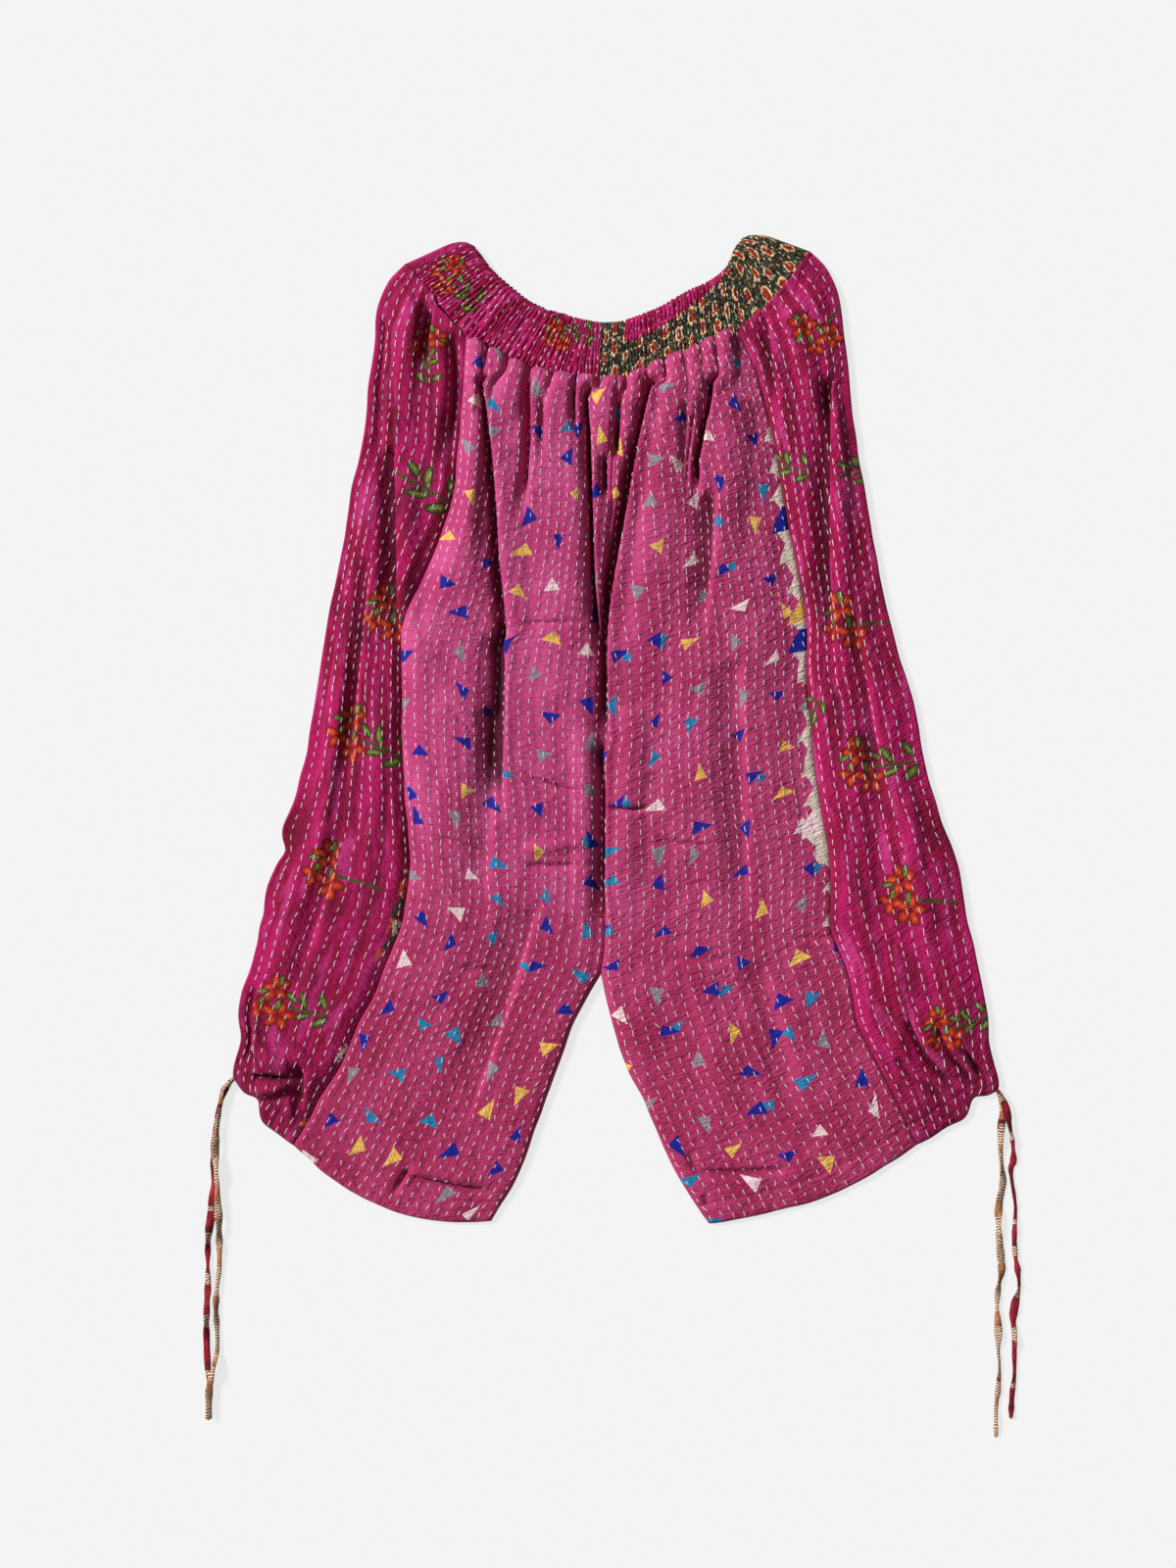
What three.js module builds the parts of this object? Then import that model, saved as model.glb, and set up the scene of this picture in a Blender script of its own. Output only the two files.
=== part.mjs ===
// Quilted patchwork capri trousers, laid flat: wide legs gathered on a shirred waistband, with tied hems.
//
// Millimetres, +Z up. The cloth lies on z = 0 with its waist towards +Y and its legs towards -Y, and
// "left" and "right" mean the -X and +X side of the garment as it lies. The back panels are flat on the
// surface. The front panels lie over them, gathered under the waistband and thrown into long soft folds.
// Each side panel starts at the front side seam, rolls round the outer edge and runs back underneath.
import * as THREE from 'three';

// ---- Driving dimensions ----

const WALL = 1.6;               // two layers of cotton, quilted together
const SEAM_GAP = 0.3;           // between the edges of two pieces that are sewn to each other
const SEAM_INSET = 0.2;         // half of it measured along a section, which crosses the seams at a slant
const ROLL_RADIUS = 2.4;        // of the middle of the wall where a side rolls under
const LIE = WALL / 2 + 2 * ROLL_RADIUS;         // height of the front wall's middle where it is smooth
const PRESSED = WALL * 1.5 + SEAM_GAP;          // the same where the front is pressed on the back
const EDGE_EASE = 10;           // how far in from the inner leg the front rises from PRESSED to LIE
const OUTER_EASE = 16;          // how far in from the outer edge the folds start
const WAIST_INSET = 0.0005;     // how far down the leg its cloth starts, half a seam's gap
const CROTCH = 0.682;           // how far down the leg the centre seam ends
const BAND_EASE = 0.12;         // how far down the leg the waist seam's curve still shows
const UNDER_STATION = 1.5;      // waistband station where the band's rolled ends meet its back piece
const TIE_WIDTH = 6;            // a tie is a twisted cotton tape
const TIE_THICKNESS = 3;
const TIE_STEPS = 20;

// Sections across a leg, from the waist seam (along 0) to the hem (along 1): where each one meets the
// centre seam or inner leg, the front side seam and the outer edge. Sag bows it towards the hem.
const LEFT_LEG = [
  { along: 0.000, inner: [0, 298], seam: [-130, 337], outer: [-184, 400], sag: 0 },
  { along: 0.060, inner: [1, 253], seam: [-134, 293], outer: [-207, 363], sag: 6 },
  { along: 0.120, inner: [1, 208], seam: [-137, 249], outer: [-211, 320], sag: 3 },
  { along: 0.200, inner: [-3, 149], seam: [-144, 191], outer: [-218, 263], sag: 0 },
  { along: 0.280, inner: [-5, 89], seam: [-163, 137], outer: [-230, 206], sag: 0 },
  { along: 0.360, inner: [-7, 29], seam: [-184, 81], outer: [-238, 148], sag: 0 },
  { along: 0.440, inner: [-8, -31], seam: [-186, 24], outer: [-249, 91], sag: 0 },
  { along: 0.520, inner: [-8, -91], seam: [-185, -35], outer: [-259, 33], sag: 0 },
  { along: 0.600, inner: [-9, -150], seam: [-181, -94], outer: [-269, -24], sag: 0 },
  { along: 0.640, inner: [-10, -181], seam: [-179, -122], outer: [-276, -52], sag: 0 },
  { along: 0.682, inner: [-14, -212], seam: [-184, -153], outer: [-286, -81], sag: 0 },
  { along: 0.720, inner: [-28, -236], seam: [-190, -179], outer: [-292, -110], sag: 0 },
  { along: 0.760, inner: [-42, -263], seam: [-201, -207], outer: [-300, -134], sag: 4 },
  { along: 0.800, inner: [-52, -291], seam: [-212, -234], outer: [-308, -158], sag: 6 },
  { along: 0.840, inner: [-61, -319], seam: [-226, -259], outer: [-313, -190], sag: 8 },
  { along: 0.920, inner: [-81, -376], seam: [-250, -312], outer: [-326, -247], sag: 14 },
  { along: 1.000, inner: [-110, -428], seam: [-280, -363], outer: [-329, -304], sag: 20 },
];
const RIGHT_LEG = [
  { along: 0.000, inner: [0, 298], seam: [104, 343], outer: [167, 411], sag: 0 },
  { along: 0.060, inner: [1, 253], seam: [122, 303], outer: [191, 374], sag: 0 },
  { along: 0.120, inner: [1, 208], seam: [133, 260], outer: [198, 330], sag: 0 },
  { along: 0.200, inner: [-3, 149], seam: [143, 202], outer: [203, 270], sag: 0 },
  { along: 0.280, inner: [-5, 89], seam: [154, 145], outer: [213, 211], sag: 0 },
  { along: 0.360, inner: [-7, 29], seam: [163, 88], outer: [222, 152], sag: 0 },
  { along: 0.440, inner: [-8, -31], seam: [164, 29], outer: [235, 94], sag: 0 },
  { along: 0.520, inner: [-8, -91], seam: [171, -29], outer: [252, 36], sag: 0 },
  { along: 0.600, inner: [-9, -150], seam: [180, -87], outer: [264, -23], sag: 0 },
  { along: 0.640, inner: [-10, -181], seam: [183, -116], outer: [271, -51], sag: 0 },
  { along: 0.682, inner: [-14, -212], seam: [184, -146], outer: [281, -82], sag: 0 },
  { along: 0.720, inner: [-8, -241], seam: [185, -174], outer: [292, -108], sag: 0 },
  { along: 0.760, inner: [0, -269], seam: [195, -201], outer: [298, -138], sag: 2 },
  { along: 0.800, inner: [9, -298], seam: [203, -230], outer: [302, -167], sag: 4 },
  { along: 0.840, inner: [24, -324], seam: [208, -258], outer: [309, -197], sag: 6 },
  { along: 0.920, inner: [49, -379], seam: [235, -310], outer: [320, -255], sag: 9 },
  { along: 1.000, inner: [80, -429], seam: [259, -362], outer: [326, -313], sag: 13 },
];

// Stations along the waistband, from its left fold to its right fold: its sewn lower edge and its upper edge.
const BAND = [
  { lower: [-184, 400], upper: [-132, 424] },
  { lower: [-169, 383], upper: [-122, 413] },
  { lower: [-154, 366], upper: [-110, 397] },
  { lower: [-130, 337], upper: [-94, 382] },
  { lower: [-105, 321], upper: [-72, 366] },
  { lower: [-75, 307], upper: [-49, 358] },
  { lower: [-46, 301], upper: [-30, 353] },
  { lower: [-19, 299], upper: [-15, 350] },
  { lower: [0, 298], upper: [2, 351] },
  { lower: [21, 305], upper: [19, 356] },
  { lower: [42, 315], upper: [39, 365] },
  { lower: [64, 323], upper: [60, 377] },
  { lower: [83, 333], upper: [78, 385] },
  { lower: [104, 343], upper: [93, 396] },
  { lower: [126, 360], upper: [101, 412] },
  { lower: [147, 383], upper: [108, 422] },
  { lower: [167, 411], upper: [118, 429] },
];
const CENTRE_STATION = 8;       // where the centre seam meets the band
const LEFT_SEAM_STATION = 3;
const RIGHT_SEAM_STATION = 13;
const PRINT_STATION = 7.1;      // where the plain part of the band is sewn to the printed part

// The plain strip pieced along the top of the printed part of the band: how much of the height it takes.
const EDGE_STRIP = [
  { station: 8.3, share: 0.36 },
  { station: 9.5, share: 0.38 },
  { station: 11.0, share: 0.27 },
  { station: 12.0, share: 0.17 },
  { station: 13.1, share: 0.06 },
];

// Folds of the front: where each one starts, bends and ends, how wide it is on either side of its line
// (left and right of it, looking from start to end) and how far it rises, or sinks where rise is negative.
const FOLDS = [
  // Long folds that hang from the gathers.
  { from: [-108, 262], by: [-98, 165], to: [-99, 30], left: 10, right: 26, rise: -5.5 },
  { from: [-97, 250], by: [-88, 165], to: [-90, 40], left: 18, right: 8, rise: 7 },
  { from: [-77, 262], by: [-74, 200], to: [-77, 150], left: 7, right: 9, rise: -3 },
  { from: [-20, 296], by: [-16, 165], to: [-17, 30], left: 8, right: 22, rise: -5 },
  { from: [-34, 270], by: [-36, 170], to: [-40, 70], left: 20, right: 18, rise: 6 },
  { from: [36, 296], by: [12, 170], to: [-7, 40], left: 8, right: 24, rise: -6 },
  { from: [48, 290], by: [26, 170], to: [6, 30], left: 22, right: 10, rise: 8 },
  { from: [-6, 60], by: [-6, -50], to: [-9, -190], left: 12, right: 18, rise: -3 },
  { from: [4, 292], by: [4, 262], to: [3, 228], left: 7, right: 8, rise: -4 },
  { from: [86, 296], by: [78, 240], to: [71, 168], left: 8, right: 16, rise: -4.5 },
  { from: [98, 290], by: [92, 225], to: [86, 120], left: 16, right: 12, rise: 5.5 },
  { from: [58, 292], by: [54, 262], to: [50, 236], left: 7, right: 7, rise: -3 },
  { from: [-124, 330], by: [-128, 290], to: [-136, 236], left: 7, right: 12, rise: -4.5 },
  // Gathers in the side panels, from the band's ends.
  { from: [-157, 366], by: [-164, 325], to: [-172, 262], left: 10, right: 14, rise: -4 },
  { from: [-143, 350], by: [-149, 312], to: [-156, 262], left: 12, right: 10, rise: 5 },
  { from: [-196, 345], by: [-201, 300], to: [-204, 236], left: 8, right: 9, rise: -2.5 },
  { from: [131, 352], by: [149, 312], to: [163, 240], left: 14, right: 12, rise: -4 },
  { from: [146, 360], by: [168, 318], to: [182, 250], left: 12, right: 12, rise: 5 },
  { from: [178, 240], by: [176, 180], to: [184, 96], left: 12, right: 12, rise: -3 },
  // Wrinkles across the seat and the legs.
  { from: [-78, -42], by: [-54, -52], to: [-31, -56], left: 7, right: 7, rise: -3 },
  { from: [-82, -106], by: [-52, -101], to: [-22, -99], left: 9, right: 9, rise: 4 },
  { from: [-4, -68], by: [10, -71], to: [24, -68], left: 8, right: 7, rise: -3.5 },
  { from: [-182, -385], by: [-140, -398], to: [-102, -402], left: 8, right: 8, rise: 3 },
  { from: [66, -384], by: [108, -388], to: [160, -380], left: 8, right: 9, rise: -3 },
  // The bunched corners where the ties come out.
  { from: [-314, -236], by: [-315, -266], to: [-317, -288], left: 7, right: 7, rise: -3 },
  { from: [-312, -302], by: [-299, -301], to: [-285, -298], left: 7, right: 7, rise: -3 },
  { from: [-311, -290], by: [-299, -289], to: [-284, -292], left: 7, right: 6, rise: 4 },
  { from: [-310, -316], by: [-297, -311], to: [-280, -300], left: 6, right: 7, rise: 4 },
  { from: [264, -282], by: [288, -298], to: [312, -308], left: 8, right: 8, rise: 4 },
  { from: [278, -254], by: [297, -281], to: [314, -302], left: 8, right: 8, rise: 4 },
  { from: [270, -268], by: [292, -290], to: [308, -304], left: 7, right: 7, rise: -3 },
];

// Gathers of the front panels just below the waist seam: x of each crest, its length, half width and rise.
const GATHERS = [
  { x: -118, length: 62, half: 8, rise: 4.5 },
  { x: -104, length: 34, half: 7, rise: 4 },
  { x: -86, length: 58, half: 9, rise: 4.5 },
  { x: -67, length: 40, half: 8, rise: 4 },
  { x: -47, length: 66, half: 9, rise: 4.5 },
  { x: -28, length: 36, half: 7, rise: 3.5 },
  { x: -8, length: 48, half: 7, rise: 4 },
  { x: 15, length: 74, half: 9, rise: 5 },
  { x: 32, length: 38, half: 6, rise: 3.5 },
  { x: 48, length: 60, half: 8, rise: 4.5 },
  { x: 66, length: 44, half: 7, rise: 4 },
  { x: 79, length: 36, half: 6, rise: 4 },
  { x: 93, length: 52, half: 7, rise: 4.5 },
];
const GATHER_LEAN = 0.0015;     // how much a gather leans outwards, for each millimetre from the centre

// Routes of the ties: the points that a maker would pin them at, with the height of the tape's middle. The
// upper tie of a pair lies on the lower one near the hem, and the left pair again at its ends.
const ON_SURFACE = TIE_THICKNESS / 2 + 0.1;
const ON_TIE = ON_SURFACE + TIE_THICKNESS + SEAM_GAP;
const TIES = {
  tie_left_tan: [
    [-330.7, -303, ON_TIE], [-336, -307, ON_TIE], [-341, -314, ON_TIE], [-344, -328, ON_TIE],
    [-347, -349, ON_TIE], [-348, -370, ON_TIE], [-347, -391, ON_TIE], [-346, -410, ON_TIE],
    [-345, -428, ON_TIE],
    [-345, -445, 2.6], [-345, -466, ON_SURFACE], [-347, -486, ON_SURFACE], [-348, -504, ON_SURFACE],
    [-347, -524, ON_SURFACE], [-347, -540, 2.4], [-350, -556, ON_TIE], [-353, -570, ON_TIE],
    [-354, -600, ON_TIE],
  ],
  tie_left_red: [
    [-330.7, -303, ON_SURFACE], [-336, -308, ON_SURFACE], [-341, -316, ON_SURFACE],
    [-345, -330, ON_SURFACE], [-348, -350, ON_SURFACE], [-350, -371, ON_SURFACE],
    [-350, -391, ON_SURFACE], [-351, -410, ON_SURFACE], [-352, -422, ON_SURFACE],
    [-354, -436, ON_SURFACE], [-355, -452, ON_SURFACE], [-355, -466, ON_SURFACE], [-355, -486, ON_SURFACE],
    [-356, -505, ON_SURFACE], [-356, -534, ON_SURFACE], [-355, -556, ON_SURFACE], [-354, -572, ON_SURFACE],
    [-354, -600, ON_SURFACE],
  ],
  tie_right_tan: [
    [328.1, -313.5, ON_SURFACE], [331, -319, ON_SURFACE], [334, -329, ON_SURFACE],
    [333, -343, ON_SURFACE], [332, -354, ON_SURFACE],
    [332, -366, ON_SURFACE], [333, -381, ON_SURFACE], [334, -395, ON_SURFACE], [331, -411, ON_SURFACE],
    [330, -428, ON_SURFACE], [331, -444, ON_SURFACE], [332, -457, ON_SURFACE], [333, -471, ON_SURFACE],
    [330, -486, ON_SURFACE], [329, -502, ON_SURFACE], [330, -521, ON_SURFACE], [330, -539, ON_SURFACE],
    [331, -555, ON_SURFACE], [330, -573, ON_SURFACE], [328, -593, ON_SURFACE], [328, -616, ON_SURFACE],
  ],
  tie_right_red: [
    [328.1, -313.5, ON_TIE], [331.5, -318, ON_TIE], [335, -326, ON_TIE], [338, -338, ON_TIE],
    [341, -352, 3.6],
    [343, -366, ON_SURFACE], [343, -377, ON_SURFACE], [341, -382, ON_SURFACE], [342, -394, ON_SURFACE],
    [344, -407, ON_SURFACE], [345, -418, ON_SURFACE], [344, -441, ON_SURFACE], [345, -459, ON_SURFACE],
    [347, -471, ON_SURFACE], [348, -485, ON_SURFACE], [345, -498, ON_SURFACE], [343, -512, ON_SURFACE],
    [344, -525, ON_SURFACE], [344, -543, ON_SURFACE], [344, -562, ON_SURFACE], [342, -578, ON_SURFACE],
    [341, -600, ON_SURFACE],
  ],
};

// How finely each piece is faceted.
const FRONT_COLUMNS = 20;
const SIDE_COLUMNS = 7;
const ROLL_COLUMNS = 4;
const UNDER_COLUMNS = 5;
const LEG_ROWS = 17;
const HEM_ROWS = 4;
const BAND_STEP = 0.25;         // stations between two columns of the band, as of a front's edge
const BAND_ROWS = 3;
const SLOPE_STEP = 1;           // distance over which the slope of the cloth is measured

// ---- Small helpers ----

const clamp01 = (value) => Math.min(1, Math.max(0, value));
const smooth = (value) => clamp01(value) ** 2 * (3 - 2 * clamp01(value));
const mix = (a, b, share) => a + (b - a) * share;
const mixPoint = (a, b, share) => [mix(a[0], b[0], share), mix(a[1], b[1], share)];
const span = (a, b) => Math.hypot(b[0] - a[0], b[1] - a[1]);

/** Numbers from first to last in equal steps, both included. */
function steps(first, last, count) {
  return Array.from({ length: count + 1 }, (_, i) => mix(first, last, i / count));
}

/** A smooth curve through a table: its value at the key `at`, for one number of each row. */
function through(keys, values, at) {
  const last = keys.length - 1;
  let i = 0;
  while (i < last - 1 && at > keys[i + 1]) i += 1;
  const slope = (k) => {
    const before = Math.max(0, k - 1);
    const after = Math.min(last, k + 1);
    return (values[after] - values[before]) / (keys[after] - keys[before]);
  };
  const width = keys[i + 1] - keys[i];
  const s = clamp01((at - keys[i]) / width);
  const ease = s * s * (3 - 2 * s);
  return (
    mix(values[i], values[i + 1], ease) +
    width * (slope(i) * s * (1 - s) ** 2 - slope(i + 1) * s * s * (1 - s))
  );
}

/** The same for a two-number column of a table. */
function pointThrough(rows, keys, column, at) {
  return [0, 1].map((axis) => through(keys, rows.map((row) => row[column][axis]), at));
}

// ---- The cut of the garment, seen from above ----

const bandKeys = BAND.map((_, station) => station);

/** A point of the waistband: station along it, and share 0 to 1 from its sewn edge to its upper edge. */
function bandPoint(station, share) {
  const lower = pointThrough(BAND, bandKeys, 'lower', station);
  const upper = pointThrough(BAND, bandKeys, 'upper', station);
  return mixPoint(lower, upper, share);
}

/** The three lines that bound a leg's panels, at one section: inner leg, front side seam and outer edge. */
function legSection(rows, along) {
  const keys = rows.map((row) => row.along);
  const upper = rows.filter((row) => row.along <= CROTCH);
  const lower = rows.filter((row) => row.along >= CROTCH);
  const part = along <= CROTCH ? upper : lower;
  return {
    inner: pointThrough(part, part.map((row) => row.along), 'inner', along),
    seam: pointThrough(rows, keys, 'seam', along),
    outer: pointThrough(rows, keys, 'outer', along),
    sag: through(keys, rows.map((row) => row.sag), along),
  };
}

/** Where a leg's panels lie: across runs 0 to 1 over the front panel and 1 to 2 over the side panel. */
function legPoint(leg, along, across) {
  const { inner, seam, outer, sag } = legSection(leg.rows, along);
  const onSide = across > 1;
  const share = onSide ? across - 1 : across;
  const [start, end] = onSide ? [seam, outer] : [inner, seam];
  const length = span(start, end);
  const bow = (onSide ? sag * 0.25 : sag) * 4 * share * (1 - share);
  const towardsHem = [(-leg.side * (end[1] - start[1])) / length, (leg.side * (end[0] - start[0])) / length];
  const point = mixPoint(start, end, share);
  point[0] -= towardsHem[0] * bow;
  point[1] -= towardsHem[1] * bow;
  if (along < BAND_EASE) {
    const station = onSide
      ? mix(leg.seamStation, leg.endStation, share)
      : mix(CENTRE_STATION, leg.seamStation, share);
    const target = bandPoint(station, 0);
    const top = mixPoint(...(onSide ? [leg.top.seam, leg.top.outer] : [leg.top.inner, leg.top.seam]), share);
    const pull = (1 - along / BAND_EASE) ** 2;
    point[0] += (target[0] - top[0]) * pull;
    point[1] += (target[1] - top[1]) * pull;
  }
  return point;
}

const LEGS = {
  left: { side: -1, rows: LEFT_LEG, seamStation: LEFT_SEAM_STATION, endStation: 0 },
  right: { side: 1, rows: RIGHT_LEG, seamStation: RIGHT_SEAM_STATION, endStation: BAND.length - 1 },
};
for (const leg of Object.values(LEGS)) leg.top = legSection(leg.rows, 0);

// ---- How the front lies ----

/** How much a fold lifts the cloth at a point: a soft ridge or trough along its bent line. */
function foldRise(fold, x, y) {
  const pieces = 6;
  let best = null;
  for (let i = 0; i < pieces; i += 1) {
    const a = bend(fold, i / pieces);
    const b = bend(fold, (i + 1) / pieces);
    const length = span(a, b);
    const ux = (b[0] - a[0]) / length;
    const uy = (b[1] - a[1]) / length;
    const share = clamp01(((x - a[0]) * ux + (y - a[1]) * uy) / length);
    const dx = x - mix(a[0], b[0], share);
    const dy = y - mix(a[1], b[1], share);
    const off = Math.hypot(dx, dy);
    if (!best || off < best.off) best = { off, side: ux * dy - uy * dx, way: (i + share) / pieces };
  }
  const half = best.side > 0 ? fold.left : fold.right;
  if (best.off >= half) return 0;
  const fade = smooth(best.way / 0.25) * smooth((1 - best.way) / 0.35);
  return fold.rise * fade * (1 - (best.off / half) ** 2) ** 2;
}

/** A point of a fold's line, which bends once. */
function bend(fold, way) {
  return mixPoint(mixPoint(fold.from, fold.by, way), mixPoint(fold.by, fold.to, way), way);
}

const gatherFolds = GATHERS.map(({ x, length, half, rise }) => {
  const top = bandPoint(stationAtX(x), 0);
  const lean = x * GATHER_LEAN * length;
  return {
    from: [x, top[1] + length * 0.3],
    by: [x + lean / 2, top[1] - length * 0.35],
    to: [x + lean, top[1] - length],
    left: half,
    right: half,
    rise,
  };
});

/** The waistband station whose sewn edge has a given x. */
function stationAtX(x) {
  let station = 0;
  while (bandPoint(station, 0)[0] < x) station += 0.05;
  return station;
}

/** Height of the front wall's middle over a point of the surface, before the edges are pressed down. */
function frontHeight([x, y]) {
  let height = LIE;
  for (const fold of FOLDS) height += foldRise(fold, x, y);
  for (const gather of gatherFolds) height += foldRise(gather, x, y);
  return Math.max(PRESSED, height);
}

/** Outward normal of the front over a point of the surface, the same on both sides of a seam. */
function frontNormal([x, y]) {
  const slopeX = (frontHeight([x + SLOPE_STEP, y]) - frontHeight([x - SLOPE_STEP, y])) / (2 * SLOPE_STEP);
  const slopeY = (frontHeight([x, y + SLOPE_STEP]) - frontHeight([x, y - SLOPE_STEP])) / (2 * SLOPE_STEP);
  return new THREE.Vector3(-slopeX, -slopeY, 1).normalize().toArray();
}

/** Height of a leg's panel, where the inner leg is pressed on the back and the outer edge rolls under. */
function legHeight(leg, along, across) {
  const point = legPoint(leg, along, across);
  const { inner, seam, outer } = legSection(leg.rows, along);
  let height = frontHeight(point);
  if (across < 1) {
    const fromInner = across * span(inner, seam);
    const open = smooth((along - CROTCH + 0.03) / 0.06);
    const pressed = PRESSED + (height - PRESSED) * Math.sqrt(1 - (1 - clamp01(fromInner / EDGE_EASE)) ** 2);
    height = mix(height, pressed, open);
  } else {
    const fromOuter = (2 - across) * span(seam, outer) - ROLL_RADIUS;
    height = mix(LIE, height, smooth(fromOuter / OUTER_EASE));
  }
  return height;
}

// ---- Walls ----

/** A closed wall of the cloth's thickness about a grid of middle points, each with its outward normal. */
function wall(grid) {
  const rows = grid.length;
  const columns = grid[0].length;
  const positions = [];
  for (const out of [1, -1]) {
    for (const row of grid) {
      for (const { at, normal } of row) {
        positions.push(...at.map((value, axis) => value + normal[axis] * out * (WALL / 2)));
      }
    }
  }
  const outer = (row, column) => row * columns + column;
  const inner = (row, column) => rows * columns + outer(row, column);
  const quads = [];
  for (let r = 0; r < rows - 1; r += 1) {
    for (let c = 0; c < columns - 1; c += 1) {
      quads.push([outer(r, c), outer(r, c + 1), outer(r + 1, c + 1), outer(r + 1, c)]);
      quads.push([inner(r, c), inner(r + 1, c), inner(r + 1, c + 1), inner(r, c + 1)]);
    }
  }
  for (let c = 0; c < columns - 1; c += 1) {
    quads.push([outer(0, c + 1), outer(0, c), inner(0, c), inner(0, c + 1)]);
    quads.push([outer(rows - 1, c), outer(rows - 1, c + 1), inner(rows - 1, c + 1), inner(rows - 1, c)]);
  }
  for (let r = 0; r < rows - 1; r += 1) {
    quads.push([outer(r, 0), outer(r + 1, 0), inner(r + 1, 0), inner(r, 0)]);
    const end = columns - 1;
    quads.push([outer(r + 1, end), outer(r, end), inner(r, end), inner(r + 1, end)]);
  }
  const index = quads.flatMap(([a, b, c, d]) => [a, b, c, a, c, d]);
  const geometry = new THREE.BufferGeometry();
  geometry.setAttribute('position', new THREE.Float32BufferAttribute(positions, 3));
  geometry.setIndex(facesOut(grid) ? index : index.reverse());
  geometry.computeVertexNormals();
  return geometry;
}

/** Whether a grid's rows and columns turn the same way as its normals, at its middle. */
function facesOut(grid) {
  const r = Math.floor(grid.length / 2);
  const c = Math.floor(grid[0].length / 2);
  const at = (row, column) => new THREE.Vector3(...grid[row][column].at);
  const alongRow = at(r, c).sub(at(r, c - 1));
  const alongColumn = at(r, c).sub(at(r - 1, c));
  return alongRow.cross(alongColumn).dot(new THREE.Vector3(...grid[r][c].normal)) > 0;
}

/** Outward normal of a panel's front at its numbers u and v, from the slopes of its height function. */
function slopeNormal(place, height, u, v, du, dv) {
  const point = (a, b) => new THREE.Vector3(...place(a, b), height(a, b));
  const alongU = point(u + du, v).sub(point(u - du, v));
  const alongV = point(u, v + dv).sub(point(u, v - dv));
  const normal = alongU.cross(alongV).normalize();
  return (normal.z < 0 ? normal.negate() : normal).toArray();
}

/** The roll at an outer edge: points of a half circle from the top of the edge down to the surface. */
function rollPoints(edge, outward) {
  return steps(0, Math.PI, ROLL_COLUMNS).map((angle) => {
    const reach = ROLL_RADIUS * (Math.sin(angle) - 1);
    return {
      at: [
        edge[0] + outward[0] * reach,
        edge[1] + outward[1] * reach,
        WALL / 2 + ROLL_RADIUS * (1 + Math.cos(angle)),
      ],
      normal: [outward[0] * Math.sin(angle), outward[1] * Math.sin(angle), Math.cos(angle)],
    };
  });
}

/** Rows of a leg, closer together near the gathers and near the hem. */
function legRows() {
  const top = steps(0, 1, LEG_ROWS).map((share) => mix(0, 0.8, share ** 1.25));
  const hem = steps(0.8, 1, HEM_ROWS).slice(1);
  const rows = [...top, ...hem];
  rows[0] = WAIST_INSET;
  return rows;
}

function frontPanel(leg) {
  return wall(
    legRows().map((along) => {
      const { inner, seam } = legSection(leg.rows, along);
      const inset = SEAM_INSET / span(inner, seam);
      return steps(inset, 1 - inset, FRONT_COLUMNS).map((across) => clothOnLeg(leg, along, across));
    }),
  );
}

/** A point of the front wall's middle on a leg, with its normal. */
function clothOnLeg(leg, along, across) {
  const point = legPoint(leg, along, across);
  const at = [...point, legHeight(leg, along, across)];
  if (Math.abs(at[2] - frontHeight(point)) < 0.001) return { at, normal: frontNormal(point) };
  const near = Math.min(0.995, Math.max(along, 0.004));
  const side = across > 1 ? Math.max(across, 1.01) : Math.min(across, 0.99);
  const place = (v, u) => legPoint(leg, v, u);
  const height = (v, u) => legHeight(leg, v, u);
  return { at, normal: slopeNormal(place, height, near, side, 0.004, 0.01) };
}

function sidePanel(leg) {
  return wall(
    legRows().map((along) => {
      const { seam, outer } = legSection(leg.rows, along);
      const width = span(seam, outer);
      const start = 1 + SEAM_INSET / width;
      const end = 2 - ROLL_RADIUS / width;
      const edge = legPoint(leg, along, 2);
      const before = legPoint(leg, along, 1.9);
      const reach = span(before, edge);
      const outward = [(edge[0] - before[0]) / reach, (edge[1] - before[1]) / reach];
      const over = steps(start, end, SIDE_COLUMNS).slice(0, -1);
      const under = steps(end, start, UNDER_COLUMNS).slice(1);
      return [
        ...over.map((across) => clothOnLeg(leg, along, across)),
        ...rollPoints(edge, outward),
        ...under.map((across) => ({ at: [...legPoint(leg, along, across), WALL / 2], normal: [0, 0, -1] })),
      ];
    }),
  );
}

// ---- Flat pieces underneath ----

/** A flat piece of cloth lying on the surface, from the outline of its cut. */
function flatPiece(outline) {
  const shape = new THREE.Shape(outline.map(([x, y]) => new THREE.Vector2(x, y)));
  return new THREE.ExtrudeGeometry(shape, { depth: WALL, bevelEnabled: false });
}

function backPanel(leg) {
  const downLeg = legRows();
  const acrossHem = steps(0, 1, 2 * Math.abs(leg.seamStation - CENTRE_STATION));
  const inset = (along) => {
    const { inner, seam } = legSection(leg.rows, along);
    return SEAM_INSET / span(inner, seam);
  };
  const inner = downLeg.map((along) => legPoint(leg, along, inset(along)));
  const seam = downLeg.map((along) => legPoint(leg, along, 1 - inset(along)));
  const hem = acrossHem.slice(1, -1).map((across) => legPoint(leg, 1, across));
  const waist = acrossHem.slice(1, -1).map((across) => legPoint(leg, WAIST_INSET, across));
  return flatPiece([...inner, ...hem, ...seam.reverse(), ...waist.reverse()]);
}

// ---- Waistband ----

const BAND_LENGTH_PER_STATION = 24;             // about how far apart two stations are
const SHARE_GAP = SEAM_GAP / 2 / 46;            // half a seam's gap as a share of the band's height
const SEAM_STATIONS = SEAM_GAP / 2 / 21;        // the same along the band, in stations
const END_STATIONS = 0.3;                       // where the front of the band starts to roll under
const LAST_STATION = BAND.length - 1;

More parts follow.
